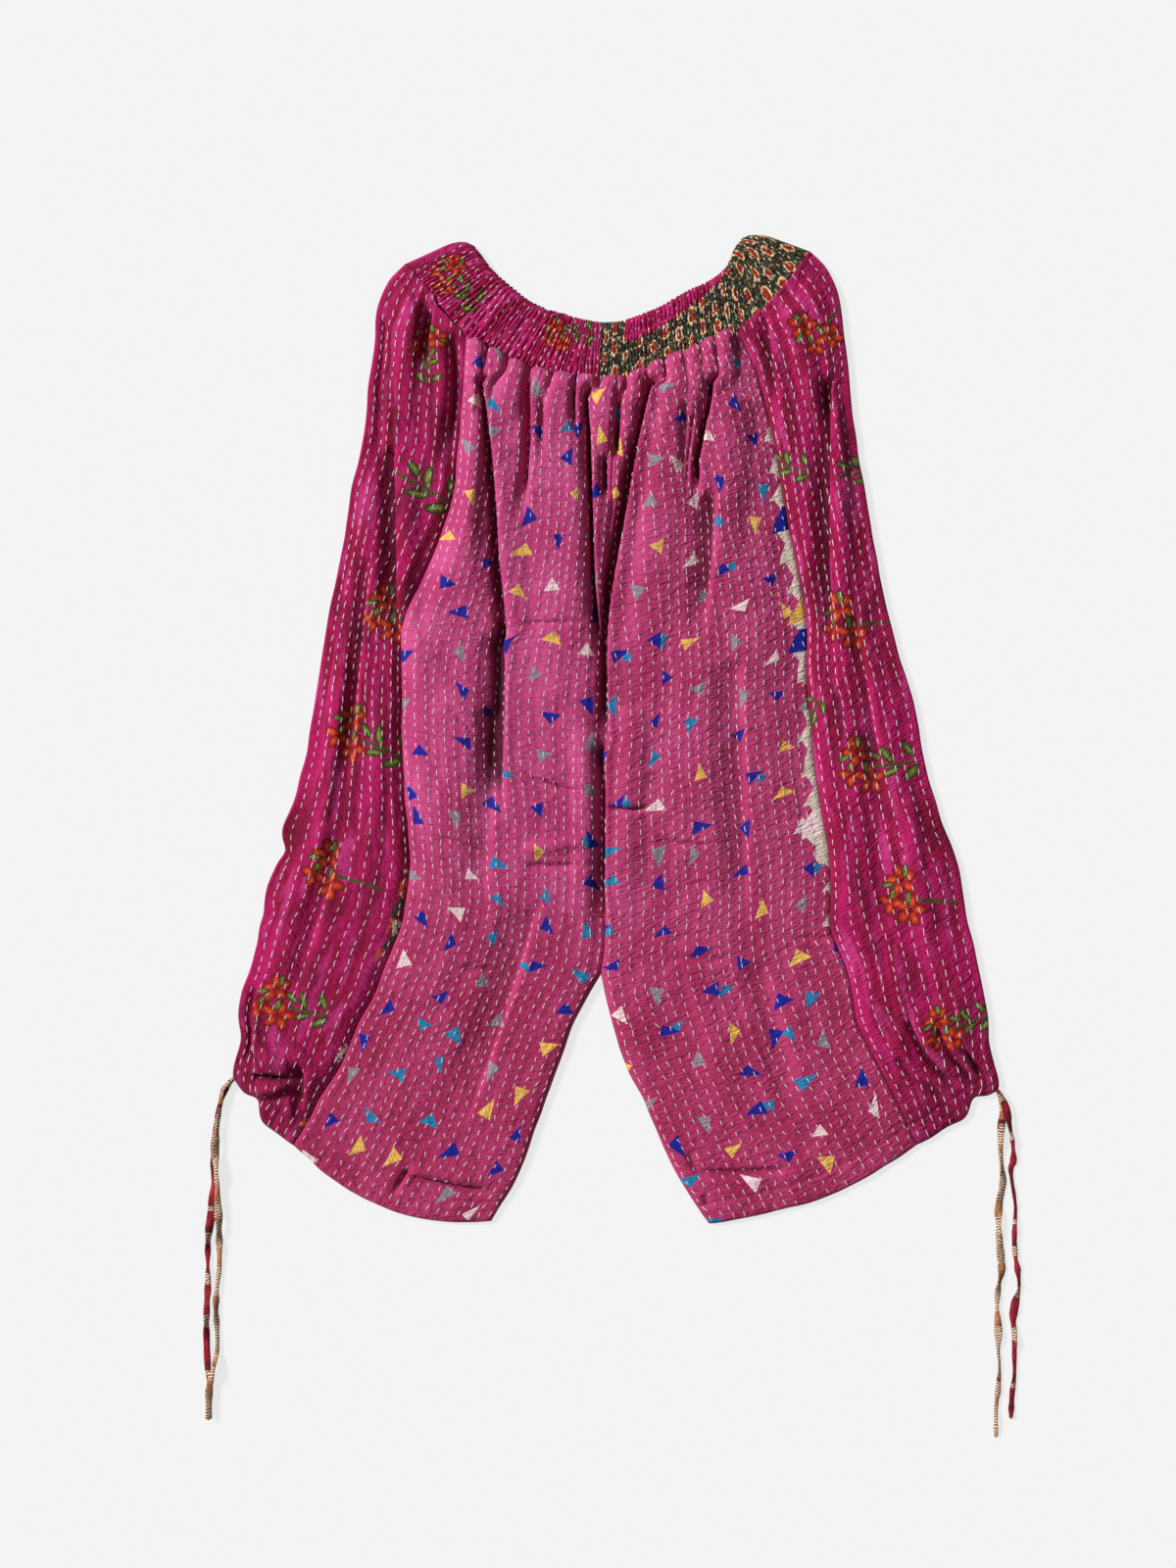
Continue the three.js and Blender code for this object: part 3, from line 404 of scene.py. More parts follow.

# %% [markdown]
# ## Folds
#
# Cloth that is gathered into a band falls in long folds. Each one here is a bent line with a width on either
# side and a height, or a depth where the height is negative. The folds of this garment are not symmetrical:
# the cloth slopes gently down into a valley from one side and comes up steeply on the other, where a lip
# laps over the valley. So each valley also has a lap, the distance that its steep side is pushed over it.
# Listing them one by one in a table keeps them as uneven as they are on real cloth.

# %% Table of folds
# from x, y; bends near x, y; to x, y; width on its left and right, looking down the fold; height; lap
FOLDS = [
    # Long valleys under the gathers, each with its steep side towards +X, and a narrow groove at its foot.
    ((-113, 306), (-94, 200), (-97, 44), 5, 33, -8.5, 9),
    ((-113, 306), (-94, 200), (-97, 20), 3.5, 14, -13.0, 0),
    ((-97, 84), (-97, 0), (-102, -88), 8, 28, -8.5, 6),
    ((-96, 96), (-97, 0), (-101, -70), 4, 14, -9.0, 0),
    ((-75, 302), (-70, 235), (-78, 176), 3.5, 9, -10.0, 4),
    ((-22, 296), (-19, 170), (-14, 30), 5, 20, -7.0, 6),
    ((-22, 296), (-19, 170), (-14, 50), 3.5, 10, -12.0, 0),
    ((37, 302), (-4, 130), (-12, -58), 5, 24, -8.0, 10),
    ((37, 302), (-4, 130), (-12, -52), 3.5, 14, -15.0, 0),
    ((-10, -10), (-8, -110), (-12, -206), 5, 18, -9.0, 5),
    ((5, 294), (5, 250), (2, 226), 3.5, 9, -11.0, 3),
    ((-5, 240), (-4, 215), (-5, 192), 3.5, 8, -9.0, 2),
    ((87, 308), (82, 250), (66, 186), 5, 18, -7.0, 7),
    ((87, 308), (82, 250), (66, 192), 3.5, 9, -12.0, 0),
    ((83, 204), (84, 150), (70, 66), 7, 24, -8.0, 3),
    ((62, 286), (60, 240), (53, 204), 3.5, 7, -6.0, 2),
    ((68, 272), (66, 250), (58, 196), 3.5, 7, -6.0, 2),
    ((-37, 296), (-36, 276), (-36, 252), 3.5, 8, -7.0, 2),
    ((-62, 292), (-60, 262), (-61, 226), 3.5, 6, -5.0, 1),
    ((-137, 345), (-138, 290), (-146, 214), 4, 15, -9.0, 0),
    # The full cloth between them.
    ((-58, 300), (-50, 160), (-55, -30), 36, 30, 3.5, 0),
    ((-94, 250), (-84, 165), (-84, 20), 14, 8, 4.0, 0),
    ((-122, 300), (-126, 240), (-130, 120), 12, 10, 5.0, 0),
    ((-36, 270), (-33, 170), (-36, 40), 20, 16, 3.0, 0),
    ((54, 292), (34, 170), (14, 0), 26, 12, 5.0, 0),
    ((22, 270), (6, 190), (-6, 90), 10, 14, 2.0, 0),
    ((104, 290), (98, 225), (90, 100), 20, 14, 5.0, 0),
    ((14, 20), (10, -60), (6, -190), 18, 10, 4.0, 0),
    ((-30, 0), (-30, -80), (-34, -190), 20, 12, 3.0, 0),
    ((60, 120), (64, 0), (60, -140), 30, 30, 2.5, 0),
    ((100, 60), (104, -60), (110, -200), 12, 26, -5.0, 2),
    ((-108, 20), (-112, -60), (-118, -190), 8, 24, -3.6, 0),
    ((-140, 40), (-146, -60), (-150, -200), 30, 20, 2.5, 0),
    ((-70, -150), (-100, -260), (-140, -360), 8, 34, -5.2, 2),
    ((60, -180), (80, -260), (100, -350), 30, 16, 2.5, 0),
    ((120, -200), (140, -280), (160, -350), 12, 22, -3.0, 0),
    # Gathers in the side panels, from the ends of the band.
    ((-157, 376), (-160, 350), (-166, 300), 5, 16, -10.0, 5),
    ((-143, 352), (-149, 312), (-153, 230), 12, 8, 5.0, 0),
    ((-176, 372), (-182, 330), (-184, 240), 12, 12, 4.0, 0),
    ((-201, 356), (-204, 290), (-205, 196), 5, 10, -5.5, 2),
    ((-191, 246), (-189, 140), (-188, 50), 4, 20, -10.0, 5),
    ((-178, 230), (-176, 120), (-176, 20), 12, 10, 3.5, 0),
    ((-214, 150), (-226, 30), (-238, -90), 6, 14, -5.0, 2),
    ((-236, 60), (-250, -40), (-262, -160), 10, 12, 3.0, 0),
    ((-200, 30), (-206, -60), (-222, -160), 12, 16, 3.0, 0),
    ((-240, -90), (-262, -180), (-286, -250), 8, 16, -4.5, 2),
    ((129, 360), (134, 320), (142, 262), 5, 16, -9.0, 4),
    ((146, 362), (166, 318), (184, 220), 12, 12, 5.0, 0),
    ((187, 306), (183, 170), (188, 30), 4, 22, -9.0, 5),
    ((197, 290), (196, 170), (200, 30), 10, 8, 4.0, 0),
    ((206, 100), (222, 0), (236, -90), 6, 16, -5.0, 2),
    ((214, 0), (222, -100), (240, -220), 14, 14, -3.5, 0),
    ((250, -60), (262, -140), (276, -230), 10, 14, 3.5, 0),
    # Wrinkles across the seat and the legs.
    ((-80, -40), (-54, -52), (-28, -57), 4, 5, -4.0, 2),
    ((-84, -106), (-52, -101), (-20, -98), 7, 8, 4.0, 0),
    ((-82, -119), (-52, -120), (-20, -119), 5, 5, -3.6, 1),
    ((-6, -68), (10, -72), (30, -68), 5, 6, -6.0, 3),
    ((-86, 91), (-54, 89), (-24, 92), 3.5, 5, -2.4, 1),
    ((-150, 20), (-132, 8), (-120, -12), 3.5, 5, -2.4, 1),
    ((-160, -92), (-132, -100), (-104, -112), 3.5, 5, -2.6, 1),
    ((-140, -206), (-120, -212), (-96, -210), 5, 6, -2.2, 0),
    ((30, -96), (60, -104), (96, -100), 4, 5, -2.2, 1),
    ((40, -196), (76, -204), (110, -200), 6, 7, -2.4, 0),
    ((150, -180), (176, -186), (196, -178), 5, 6, -2.6, 0),
    ((-196, -230), (-170, -246), (-140, -250), 5, 6, -2.2, 0),
    # Creases above the hems.
    ((-176, -376), (-186, -392), (-196, -408), 5, 6, -5.0, 2),
    ((-184, -386), (-142, -395), (-100, -402), 4, 14, -5.0, 3),
    ((-184, -378), (-142, -386), (-100, -393), 8, 8, 3.4, 0),
    ((64, -384), (108, -388), (160, -380), 6, 8, -4.0, 1),
    ((60, -366), (66, -378), (70, -390), 5, 5, -3.4, 0),
    ((76, -402), (77, -410), (78, -418), 5, 5, -3.0, 0),
    # The bunched corners where the ties come out.
    ((-311, -222), (-313, -262), (-315, -300), 4, 14, -9.0, 6),
    ((-319, -303), (-300, -297), (-279, -307), 6, 7, -13.0, 4),
    ((-309, -282), (-294, -282), (-274, -298), 9, 9, 7.0, 0),
    ((-318, -314), (-300, -316), (-280, -309), 5, 5, 8.0, 0),
    ((-316, -323), (-300, -325), (-286, -318), 3, 4, -5.0, 0),
    ((-276, -290), (-268, -310), (-277, -338), 7, 15, -8.0, 3),
    ((-286, -318), (-280, -328), (-286, -342), 5, 6, 4.0, 0),
    ((-300, -262), (-276, -278), (-262, -300), 9, 9, 3.0, 0),
    ((-322, -250), (-323, -270), (-324, -290), 5, 5, 3.0, 0),
    ((262, -262), (282, -288), (308, -308), 7, 8, 6.5, 0),
    ((250, -248), (270, -290), (302, -313), 4, 10, -9.0, 4),
    ((284, -262), (300, -286), (314, -304), 6, 5, 5.5, 0),
    ((276, -252), (294, -284), (314, -307), 3, 8, -7.0, 2),
    ((240, -280), (262, -306), (294, -326), 6, 10, -7.0, 2),
    ((236, -262), (250, -290), (276, -318), 8, 8, 4.5, 0),
    ((300, -270), (310, -290), (318, -304), 3, 5, -4.5, 1),
]

# Gathers just below the waist seam: x of the crest, half width, height and length down the front.
GATHERS = [
    (-121, 8.5, 9.0, 90), (-104, 8.5, 7.5, 50), (-85, 9.5, 8.5, 74), (-66, 9.5, 7.5, 56), (-46, 10, 9.0, 78),
    (-27, 9.5, 7.5, 56), (-3, 10.5, 9.0, 64), (17, 9, 8.5, 84), (33, 8, 7.5, 50), (50, 9, 9.0, 72),
    (65, 8, 7.5, 54), (78, 6.5, 7.0, 48), (92, 8, 8.5, 60),
]
GATHER_LEAN = 0.0015        # how much a gather leans outwards, for each millimetre from the centre
HIGHEST = 22.5              # the folds flatten out under this height, in millimetres


# %% Height and sideways push of the folded cloth
def nearest_on_fold(fold, x, y):
    """Distance to a fold's line, which side it is on, and how far along the fold the nearest point is."""
    pieces = 12
    way = np.linspace(0, 1, pieces + 1)[:, None]
    start, by, end = (np.array(p, float) for p in fold[:3])
    line = mix(mix(start, by, way), mix(by, end, way), way)
    best = np.full(x.shape, 1e9)
    side = np.zeros(x.shape)
    along = np.zeros(x.shape)
    direction = np.zeros((2,) + x.shape)
    for i in range(pieces):
        a, b = line[i], line[i + 1]
        length = math.hypot(*(b - a))
        ux, uy = (b - a) / length
        share = np.clip(((x - a[0]) * ux + (y - a[1]) * uy) / length, 0, 1)
        dx, dy = x - mix(a[0], b[0], share), y - mix(a[1], b[1], share)
        off = np.hypot(dx, dy)
        near = off < best
        best = np.where(near, off, best)
        side = np.where(near, ux * dy - uy * dx, side)
        along = np.where(near, (i + share) / pieces, along)
        direction[0] = np.where(near, uy, direction[0])
        direction[1] = np.where(near, -ux, direction[1])
    return best, side, along, direction


def folded(x, y):
    """How much the folds lift the front over points of the table, and how far they push it sideways."""
    height = np.zeros(x.shape)
    push = np.zeros((2,) + x.shape)
    for fold in FOLDS:
        left, right, rise, lap = fold[3:]
        reach = max(left, right) + (34 if lap else 0)
        xs, ys = zip(*fold[:3])
        inside = (x > min(xs) - reach) & (x < max(xs) + reach) & (y > min(ys) - reach) & (y < max(ys) + reach)
        if not inside.any():
            continue
        off, side, way, direction = nearest_on_fold(fold, x[inside], y[inside])
        length = math.dist(fold[0], fold[1]) + math.dist(fold[1], fold[2])
        fade = smooth(way / min(0.35, 14 / length)) * smooth((1 - way) / 0.4)
        half = np.where(side > 0, left, right)
        shape = np.clip(1 - (off / half) ** 2, 0, 1) ** 2
        height[inside] += rise * fade * shape
        if lap:
            lip = np.where(off < left, smooth(off / left), 1 - smooth((off - left) / 34)) * (side > 0)
            push[:, inside] += direction * (lap * fade * lip)
            height[inside] += 0.22 * lap * fade * smooth(1 - np.abs(off - left * 1.1) / 9) * (side > 0)
    return height, push


def gathered(x, down):
    """Height of the gathers `down` millimetres below the waist seam, and their push over the band."""
    height = np.zeros(x.shape)
    push = np.zeros(x.shape)
    for at, half, rise, length in GATHERS:
        middle = at + at * GATHER_LEAN * down
        off = np.clip(np.abs(x - middle) / half, 0, 1)
        crest = (1 - off ** 2.6) ** 0.7
        fade = smooth(1 - down / length)
        height += rise * crest * fade
        push += 6.0 * crest * smooth(1 - down / 26)
    return height, push


def eased(height):
    """Keeps a height between the back and the highest fold, without a sharp corner at either."""
    above = PRESSED + np.logaddexp(0, (height - PRESSED) / 1.1) * 1.1
    soft = HIGHEST - 2 * LIE
    over = above - 2 * LIE
    return np.where(over > 0, 2 * LIE + soft * np.tanh(over / soft), above)


probe = np.linspace(-130, 110, 25)
print("lift across the gathers, mm:", np.round(folded(probe, np.full(25, 250.0))[0], 1))

# %% [markdown]
# ## Front and side panels
#
# A panel is a fine grid laid over the cut, lifted by the folds and then given a wall by Solidify. The top of
# a front bulges over the waistband where it is gathered, the inner leg and the hem are pressed down on the
# back, and the sides roll round the outer edge and run back underneath.


# %% Fronts
FULL_SEAT = 8.0             # how much fuller the cloth lies in the seat than where it is smooth, in millimetres
FULL_LEG = 2.0              # the same in the legs
ON_BAND = 1.8               # how high the sewn edge lies on the waistband
FULL_SIDE = 4.5             # and in the side panels


def edge_round(distance, reach):
    """0 at an edge, rising to 1 like a quarter circle within `reach`."""
    return np.sqrt(1 - (1 - np.clip(distance / reach, 0, 1)) ** 2)


def leg_folded(leg, along, across):
    """Position of the front wall's middle at places of a leg, and how deep it is in a fold, in millimetres."""
    x, y = leg.point(along, across)
    lift, push = folded(x, y)
    lines = leg.section(along)
    width_front = np.hypot(lines["seam"][0] - lines["inner"][0], lines["seam"][1] - lines["inner"][1])
    width_side = np.hypot(lines["outer"][0] - lines["seam"][0], lines["outer"][1] - lines["seam"][1])
    on_front = across < 1
    from_seam = np.where(on_front, (1 - across) * width_front, (across - 1) * width_side)
    from_inner = np.where(on_front, across * width_front, 1e3)
    from_outer = np.where(on_front, 1e3, (2 - across) * width_side - ROLL)
    down, to_hem = along * LEG_CUT, (1 - along) * LEG_CUT
    slope = 24 if leg.side < 0 else 64
    full_front = (FULL_SEAT * (1 - smooth((along - 0.4) / 0.4)) + FULL_LEG) * smooth(from_seam / slope + 0.12)
    full_side = FULL_SIDE * smooth(from_seam / 14) * smooth(from_outer / 26)
    full = np.where(on_front, full_front, full_side) * smooth(down / 30) * smooth(to_hem / 40)
    ripple = 0.7 * soft_noise(x, y, 46, 3) + 0.5 * soft_noise(x, y, 17, 4) + 0.35 * soft_noise(x, y, 8, 5)
    gather, over_band = gathered(x, down)
    gather = np.where(on_front, gather * smooth(from_seam / 6), 0) * edge_round(down, 9)
    gather = gather + ON_BAND * smooth(1 - down / 14)
    lift = np.where(on_front, lift, lift * smooth(down / 22))
    height = eased(LIE + full + lift + gather + ripple)
    depth = eased(LIE + full) - height
    x = x + push[0]
    y = y + push[1] + np.where(on_front, over_band * smooth(from_seam / 10), 2.5 * smooth(1 - down / 12))
    open_leg = smooth((along - CROTCH + 0.03) / 0.06)
    height = mix(height, PRESSED + (height - PRESSED) * edge_round(from_inner, 12), open_leg)
    height = mix(height - 1.4 * (1 - smooth(from_inner / 4)), height, open_leg)
    height = height - 1.2 * (1 - smooth(from_seam / 4))
    height = np.where(on_front, height, mix(LIE, height, smooth(from_outer / 10)))
    height = PRESSED + (height - PRESSED) * edge_round(to_hem + 0.6, 8)
    height = height - 0.9 * np.exp(-((to_hem - 19) / 1.6) ** 2)
    return x, y, np.maximum(height, PRESSED - 0.4), depth


def leg_cloth(leg, along, across):
    return leg_folded(leg, along, across)[:3]


def leg_rows(t):
    """The grid's rows are closer together near the waist and the hem."""
    return np.clip(t + 0.035 * np.sin(2 * math.pi * t) * -1, 0, 1)


def front(name, leg):
    place = lambda s, t: leg_cloth(leg, leg_rows(t), np.clip(s, 0.0005, 1))
    first = 0 if leg.side < 0 else 3 * FRONT_CUT
    cloth = lambda s, t: (first + s * FRONT_CUT, leg_rows(t) * LEG_CUT)
    piece = shell(name + "_cloth", 100, 400, place, cloth, WALL)
    turn_outwards(piece, True)
    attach(piece, BODY)
    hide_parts(name)
    return piece


fronts = {side: front(f"front_{side}", leg) for side, leg in LEGS.items()}
print("front grids:", [len(piece.data.vertices) for piece in fronts.values()], "points each")


# %% Sides, over, round and under
OVER, ROUND = 0.52, 0.60    # shares of the grid's columns where the roll starts and ends


def side_cloth(leg, along, s):
    lines = leg.section(along)
    width = np.hypot(lines["outer"][0] - lines["seam"][0], lines["outer"][1] - lines["seam"][1])
    end = 2 - ROLL / width
    edge = leg.point(along, np.full(along.shape, 2.0))
    before = leg.point(along, np.full(along.shape, 1.9))
    reach = np.hypot(edge[0] - before[0], edge[1] - before[1])
    outward = [(edge[axis] - before[axis]) / reach for axis in (0, 1)]
    over = leg_cloth(leg, along, 1.0005 + (end - 1.0005) * np.clip(s / OVER, 0, 1))
    angle = np.clip((s - OVER) / (ROUND - OVER), 0, 1) * math.pi
    hem = edge_round((1 - along) * LEG_CUT + 0.6, 7)
    top = PRESSED + (LIE - PRESSED) * hem
    radius = (top - WALL / 2) / 2
    shift = ROLL * (np.sin(angle) - 1)
    rolled = [edge[axis] + outward[axis] * shift for axis in (0, 1)]
    rolled.append(WALL / 2 + radius * (1 + np.cos(angle)))
    across = mix(end, 1.0005, np.clip((s - ROUND) / (1 - ROUND), 0, 1))
    under = [*leg.point(along, across), np.full(along.shape, WALL / 2)]
    pick = lambda a, b, c: np.where(s < OVER, a, np.where(s < ROUND, b, c))
    return [pick(a, b, c) for a, b, c in zip(over, rolled, under)]


def side_grid(s):
    """Spends more of the columns on the part that shows and on the roll."""
    return np.interp(s, [0, 0.60, 0.78, 1], [0, OVER, ROUND, 1])


def side(name, leg):
    place = lambda s, t: side_cloth(leg, leg_rows(t), side_grid(s))
    cloth = lambda s, t: (side_grid(s) * SIDE_CUT / OVER, leg_rows(t) * LEG_CUT)
    piece = shell(name + "_cloth", 72, 300, place, cloth, WALL)
    middle = len(piece.data.polygons) // 2 + 10
    if piece.data.polygons[middle].normal.z < 0:
        piece.data.flip_normals()
    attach(piece, BODY)
    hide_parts(name)
    return piece


sides = {name: side(f"side_{name}", leg) for name, leg in LEGS.items()}


# %% Backs
def back(name, leg):
    def place(s, t):
        x, y = leg.point(t, s)
        return x, y, np.full(x.shape, WALL / 2)

    piece = shell(name + "_cloth", 36, 130, place, lambda s, t: (s * FRONT_CUT, t * LEG_CUT), WALL)
    turn_outwards(piece, False)
    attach(piece, BODY)
    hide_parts(name)
    return piece


backs = {name: back(f"back_{name}", leg) for name, leg in LEGS.items()}

# %% [markdown]
# ## The shirred waistband
#
# Elastic sewn along the band gathers it into fine ridges that run across it. Between two rows of elastic the
# ridges puff up, and at a row they are pinched flat, so each strip between rows has ridges of its own. They
# are real relief here, because they catch the light, and each strip's ridges are shifted by chance.

# %% Waistband sizes
RIDGE_PITCH = 3.6           # millimetres between two ridges
RIDGE_HIGH = 2.2
ELASTIC = (0.0, 0.26, 0.50, 0.74, 0.97)     # shares of the band's height where it is pinched
CORNER = 0.8                # stations by which the band's outer corners are rounded off
PRINT_STATION = 7.1         # where the magenta part of the band meets the green part
# station, and the share of the band's height that the plain strip takes along the top
EDGE_STRIP = [(8.3, 0.36), (9.5, 0.38), (11.0, 0.27), (12.0, 0.17), (13.1, 0.06)]


# %% Waistband surface
def ridge_height(station, share):
    """Relief of the shirring."""
    total = np.zeros(station.shape)
    for strip, (low, high) in enumerate(zip(ELASTIC[:-1], ELASTIC[1:])):
        way = np.clip((share - low) / (high - low), 0, 1)
        puff = np.sin(way * math.pi) ** 0.6
        inside = (share >= low) & (share <= high)
        drift = 2.2 * soft_noise(station * 3, np.full(station.shape, strip * 7.0), 1.0, 20 + strip)
        wave = np.sin(station * 24 / RIDGE_PITCH * 2 * math.pi + drift * 2 + strip * 1.7)
        size = 0.75 + 0.35 * soft_noise(station * 5, share * 4, 1.0, 30)
        total = np.where(inside, (0.25 + 0.75 * puff) * wave * size, total)
    return RIDGE_HIGH / 2 * total


def band_cloth(station, share):
    x, y = band_point(station, share)
    from_end = np.minimum(station, LAST_STATION - station) * 24
    ridges = ridge_height(station, share) * smooth(from_end / 20)
    pinch = sum(np.exp(-((share - row) * BAND_HIGH / 1.2) ** 2) for row in ELASTIC[1:])
    top = edge_round((1 - share) * BAND_HIGH + 0.5, 5)
    height = LIE + ridges + 1.2 * soft_noise(x, y, 19, 9) - 0.6 * pinch
    height = mix(LIE, height, smooth(from_end / 16))
    foot, head = band_point(station, 0), band_point(station, 1)
    frill = ridge_height(station, np.full(np.shape(station), 0.88)) * smooth((share - 0.8) / 0.2)
    frill = 0.017 * frill * smooth(from_end / 20)
    return x + (head[0] - foot[0]) * frill, y + (head[1] - foot[1]) * frill, PRESSED + (height - PRESSED) * top


def band_wrap(end, inward):
    """A waistband half: s runs 0 to 1 from its inner seam to the fold, round it and a little way under."""
    over, round_ = 0.88, 0.94

    def place(start, s, share):
        corner = end + inward * CORNER * (1 - edge_round(1 - share, 0.3))
        station = mix(start, corner, np.clip(s / over, 0, 1))
        station = np.where(inward > 0, np.maximum(station, 0.12), np.minimum(station, LAST_STATION - 0.12))
        front_part = band_cloth(station, share)
        edge = band_point(corner, share)
        before = band_point(corner + inward * 0.5, share)
        reach = np.hypot(edge[0] - before[0], edge[1] - before[1])
        outward = [(edge[axis] - before[axis]) / reach for axis in (0, 1)]
        angle = np.clip((s - over) / (round_ - over), 0, 1) * math.pi
        top = PRESSED + (LIE - PRESSED) * edge_round((1 - share) * BAND_HIGH + 0.5, 5)
        radius = (top - WALL / 2) / 2
        rolled = [edge[axis] + outward[axis] * ROLL * (np.sin(angle) - 1) for axis in (0, 1)]
        rolled.append(WALL / 2 + radius * (1 + np.cos(angle)))
        below = mix(corner + inward * 0.12, end + inward * 1.5, np.clip((s - round_) / (1 - round_), 0, 1))
        under = [*band_point(below, share), np.full(s.shape, WALL / 2)]
        return [np.where(s < over, a, np.where(s < round_, b, c))
                for a, b, c in zip(front_part, rolled, under)]

    return place, over


def band_half(name, start, end, top=None):
    inward = 1 if end == 0 else -1
    wrap, over = band_wrap(end, inward)
    grid = lambda s: np.interp(s, [0, 0.93, 0.97, 1], [0, over, 0.94, 1])

    def share_of(s, t):
        station = mix(start, end, np.clip(grid(s) / over, 0, 1))
        return t * (top(station) if top else 1.0)

    place = lambda s, t: wrap(start, grid(s), share_of(s, t))
    cloth = lambda s, t: (abs(mix(start, end, grid(s) / over) * 24), share_of(s, t) * BAND_HIGH)
    piece = shell(name + "_cloth", 330, 30, place, cloth, WALL)
    turn_outwards(piece, True)
    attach(piece, BODY)
    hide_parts(name)
    return piece


def strip_share(station):
    keys, shares = zip(*EDGE_STRIP)
    inside = (station >= keys[0]) & (station <= keys[-1])
    return np.where(inside, through(keys, shares, station), 0)


band_left = band_half("waistband_front_left", PRINT_STATION, 0)
band_right = band_half("waistband_front_right", PRINT_STATION, LAST_STATION,
                       lambda station: 1 - strip_share(station))


def strip_place(s, t):
    station = mix(EDGE_STRIP[0][0], EDGE_STRIP[-1][0], s)
    x, y, z = band_cloth(station, 1 - strip_share(station) * (1 - t))
    return x, y, z + 0.15


def strip_cloth(s, t):
    station = mix(EDGE_STRIP[0][0], EDGE_STRIP[-1][0], s)
    return station * 24, (1 - strip_share(station) * (1 - t)) * BAND_HIGH


edge_strip = shell("waistband_edge_strip_cloth", 190, 12, strip_place, strip_cloth, WALL)
turn_outwards(edge_strip, True)
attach(edge_strip, BODY)
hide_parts("waistband_edge_strip")


def band_back_place(s, t):
    station = mix(1.5, LAST_STATION - 1.5, s)
    x, y = band_point(station, t * 0.97)
    return x, y, np.full(x.shape, WALL / 2)


band_back = shell("waistband_back_cloth", 120, 10, band_back_place,
                  lambda s, t: (s * 330, t * BAND_HIGH), WALL)
turn_outwards(band_back, False)
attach(band_back, BODY)
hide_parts("waistband_back")

# %% [markdown]
# ## Running stitches
#
# Rows of hand-sewn running stitch hold the two layers together, eight millimetres apart, one stitch about
# every ten millimetres. They are raised cream thread, so they are real meshes: one small grain of thread is
# modelled once and copied onto the cloth with a slightly different length, place and slant each time.

# %% One grain of thread
STITCH_WIDE = 0.85
STITCH_HIGH = 0.6
# For each kind of piece: stitch length, distance between stitches, distance between rows, and slant.
SEWING = {"front": (4.8, 8.8, 8.3, 0.16), "side": (5.6, 9.4, 9.4, 0.08), "band": (3.6, 8.0, 4.6, 0.12)}


def thread_grain():
    """Corners and faces of a stitch one unit long, wide and high: a bar that is bent down at both ends."""
    bm = bmesh.new()
    bmesh.ops.create_cube(bm, size=1)
    bmesh.ops.subdivide_edges(bm, edges=[e for e in bm.edges if abs(e.verts[0].co.x - e.verts[1].co.x) > 0.5],
                              cuts=2)
    for vert in bm.verts:
        reach = abs(vert.co.x) * 2
        vert.co.z -= 0.8 * reach ** 2
        vert.co.y *= 1 - 0.35 * reach ** 2
        if vert.co.z > 0:
            vert.co.y *= 0.7
    mesh = bpy.data.meshes.new("grain")
    bm.to_mesh(mesh)
    bm.free()
    corners = np.array([v.co[:] for v in mesh.vertices])
    faces = np.array([p.vertices[:] for p in mesh.polygons])
    bpy.data.meshes.remove(mesh)
    return corners, faces


GRAIN = thread_grain()


def sew(name, surface, places, kind, seed, lift=WALL / 2 + 0.12):
    """Copies the grain to each place (row, down) of a surface, a function of two numbers."""
    random = np.random.default_rng(seed)
    u, v, du, dv = places
    long, slant = SEWING[kind][0], SEWING[kind][3]
    at = np.stack(surface(u, v), axis=1)
    ahead = np.stack(surface(u, np.clip(v + dv, 0, 1)), axis=1)
    behind = np.stack(surface(u, np.clip(v - dv, 0, 1)), axis=1)
    beside = np.stack(surface(u + du, v), axis=1) - at
    forward = ahead - behind
    forward /= np.maximum(np.linalg.norm(forward, axis=1), 1e-9)[:, None]
    normal = np.cross(forward, beside)
    normal /= np.maximum(np.linalg.norm(normal, axis=1), 1e-9)[:, None]
    normal *= np.where(normal[:, 2] < 0, -1, 1)[:, None]
    slant = random.normal(0, slant, len(at))
    right = np.cross(forward, normal)
    forward = forward * np.cos(slant)[:, None] + right * np.sin(slant)[:, None]
    right = np.cross(forward, normal)
    corners, faces = GRAIN
    length = long * random.uniform(0.7, 1.2, len(at))
    at = at + normal * lift
    points = (at[:, None, :]
              + corners[None, :, 0, None] * length[:, None, None] * forward[:, None, :]
              + corners[None, :, 1, None] * STITCH_WIDE * right[:, None, :]
              + corners[None, :, 2, None] * STITCH_HIGH * normal[:, None, :])
    quads = faces[None, :, :] + np.arange(len(at))[:, None, None] * len(corners)
    mesh = bpy.data.meshes.new(name)
    mesh.from_pydata(points.reshape(-1, 3) * MM, [], quads.reshape(-1, 4).tolist())
    mesh.update()
    bm = bmesh.new()
    bm.from_mesh(mesh)
    bmesh.ops.recalc_face_normals(bm, faces=bm.faces)
    bm.to_mesh(mesh)
    bm.free()
    piece = bpy.data.objects.new(name, mesh)
    bpy.context.collection.objects.link(piece)
    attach(piece, BODY)
    print(name, "stitches:", len(at))
    return piece


def stitch_rows(width, length, kind, seed):
    """Places of the stitches on a piece of cloth of that size, as shares of it."""
    random = np.random.default_rng(seed)
    pitch, rows = SEWING[kind][1], int(width / SEWING[kind][2])
    across, down = [], []
    for row in range(rows):
        middle = (row + 0.5) / rows
        start = random.uniform(0, pitch)
        steps = np.arange(start, length - 3, pitch)
        steps = steps + random.normal(0, 0.7, len(steps))
        wander = 0.7 * np.sin(steps / 60 + random.uniform(0, 6)) / width
        across.append(middle + wander + random.normal(0, 0.25, len(steps)) / width)
        down.append(steps / length)
    return np.concatenate(across), np.clip(np.concatenate(down), 0.004, 0.997)


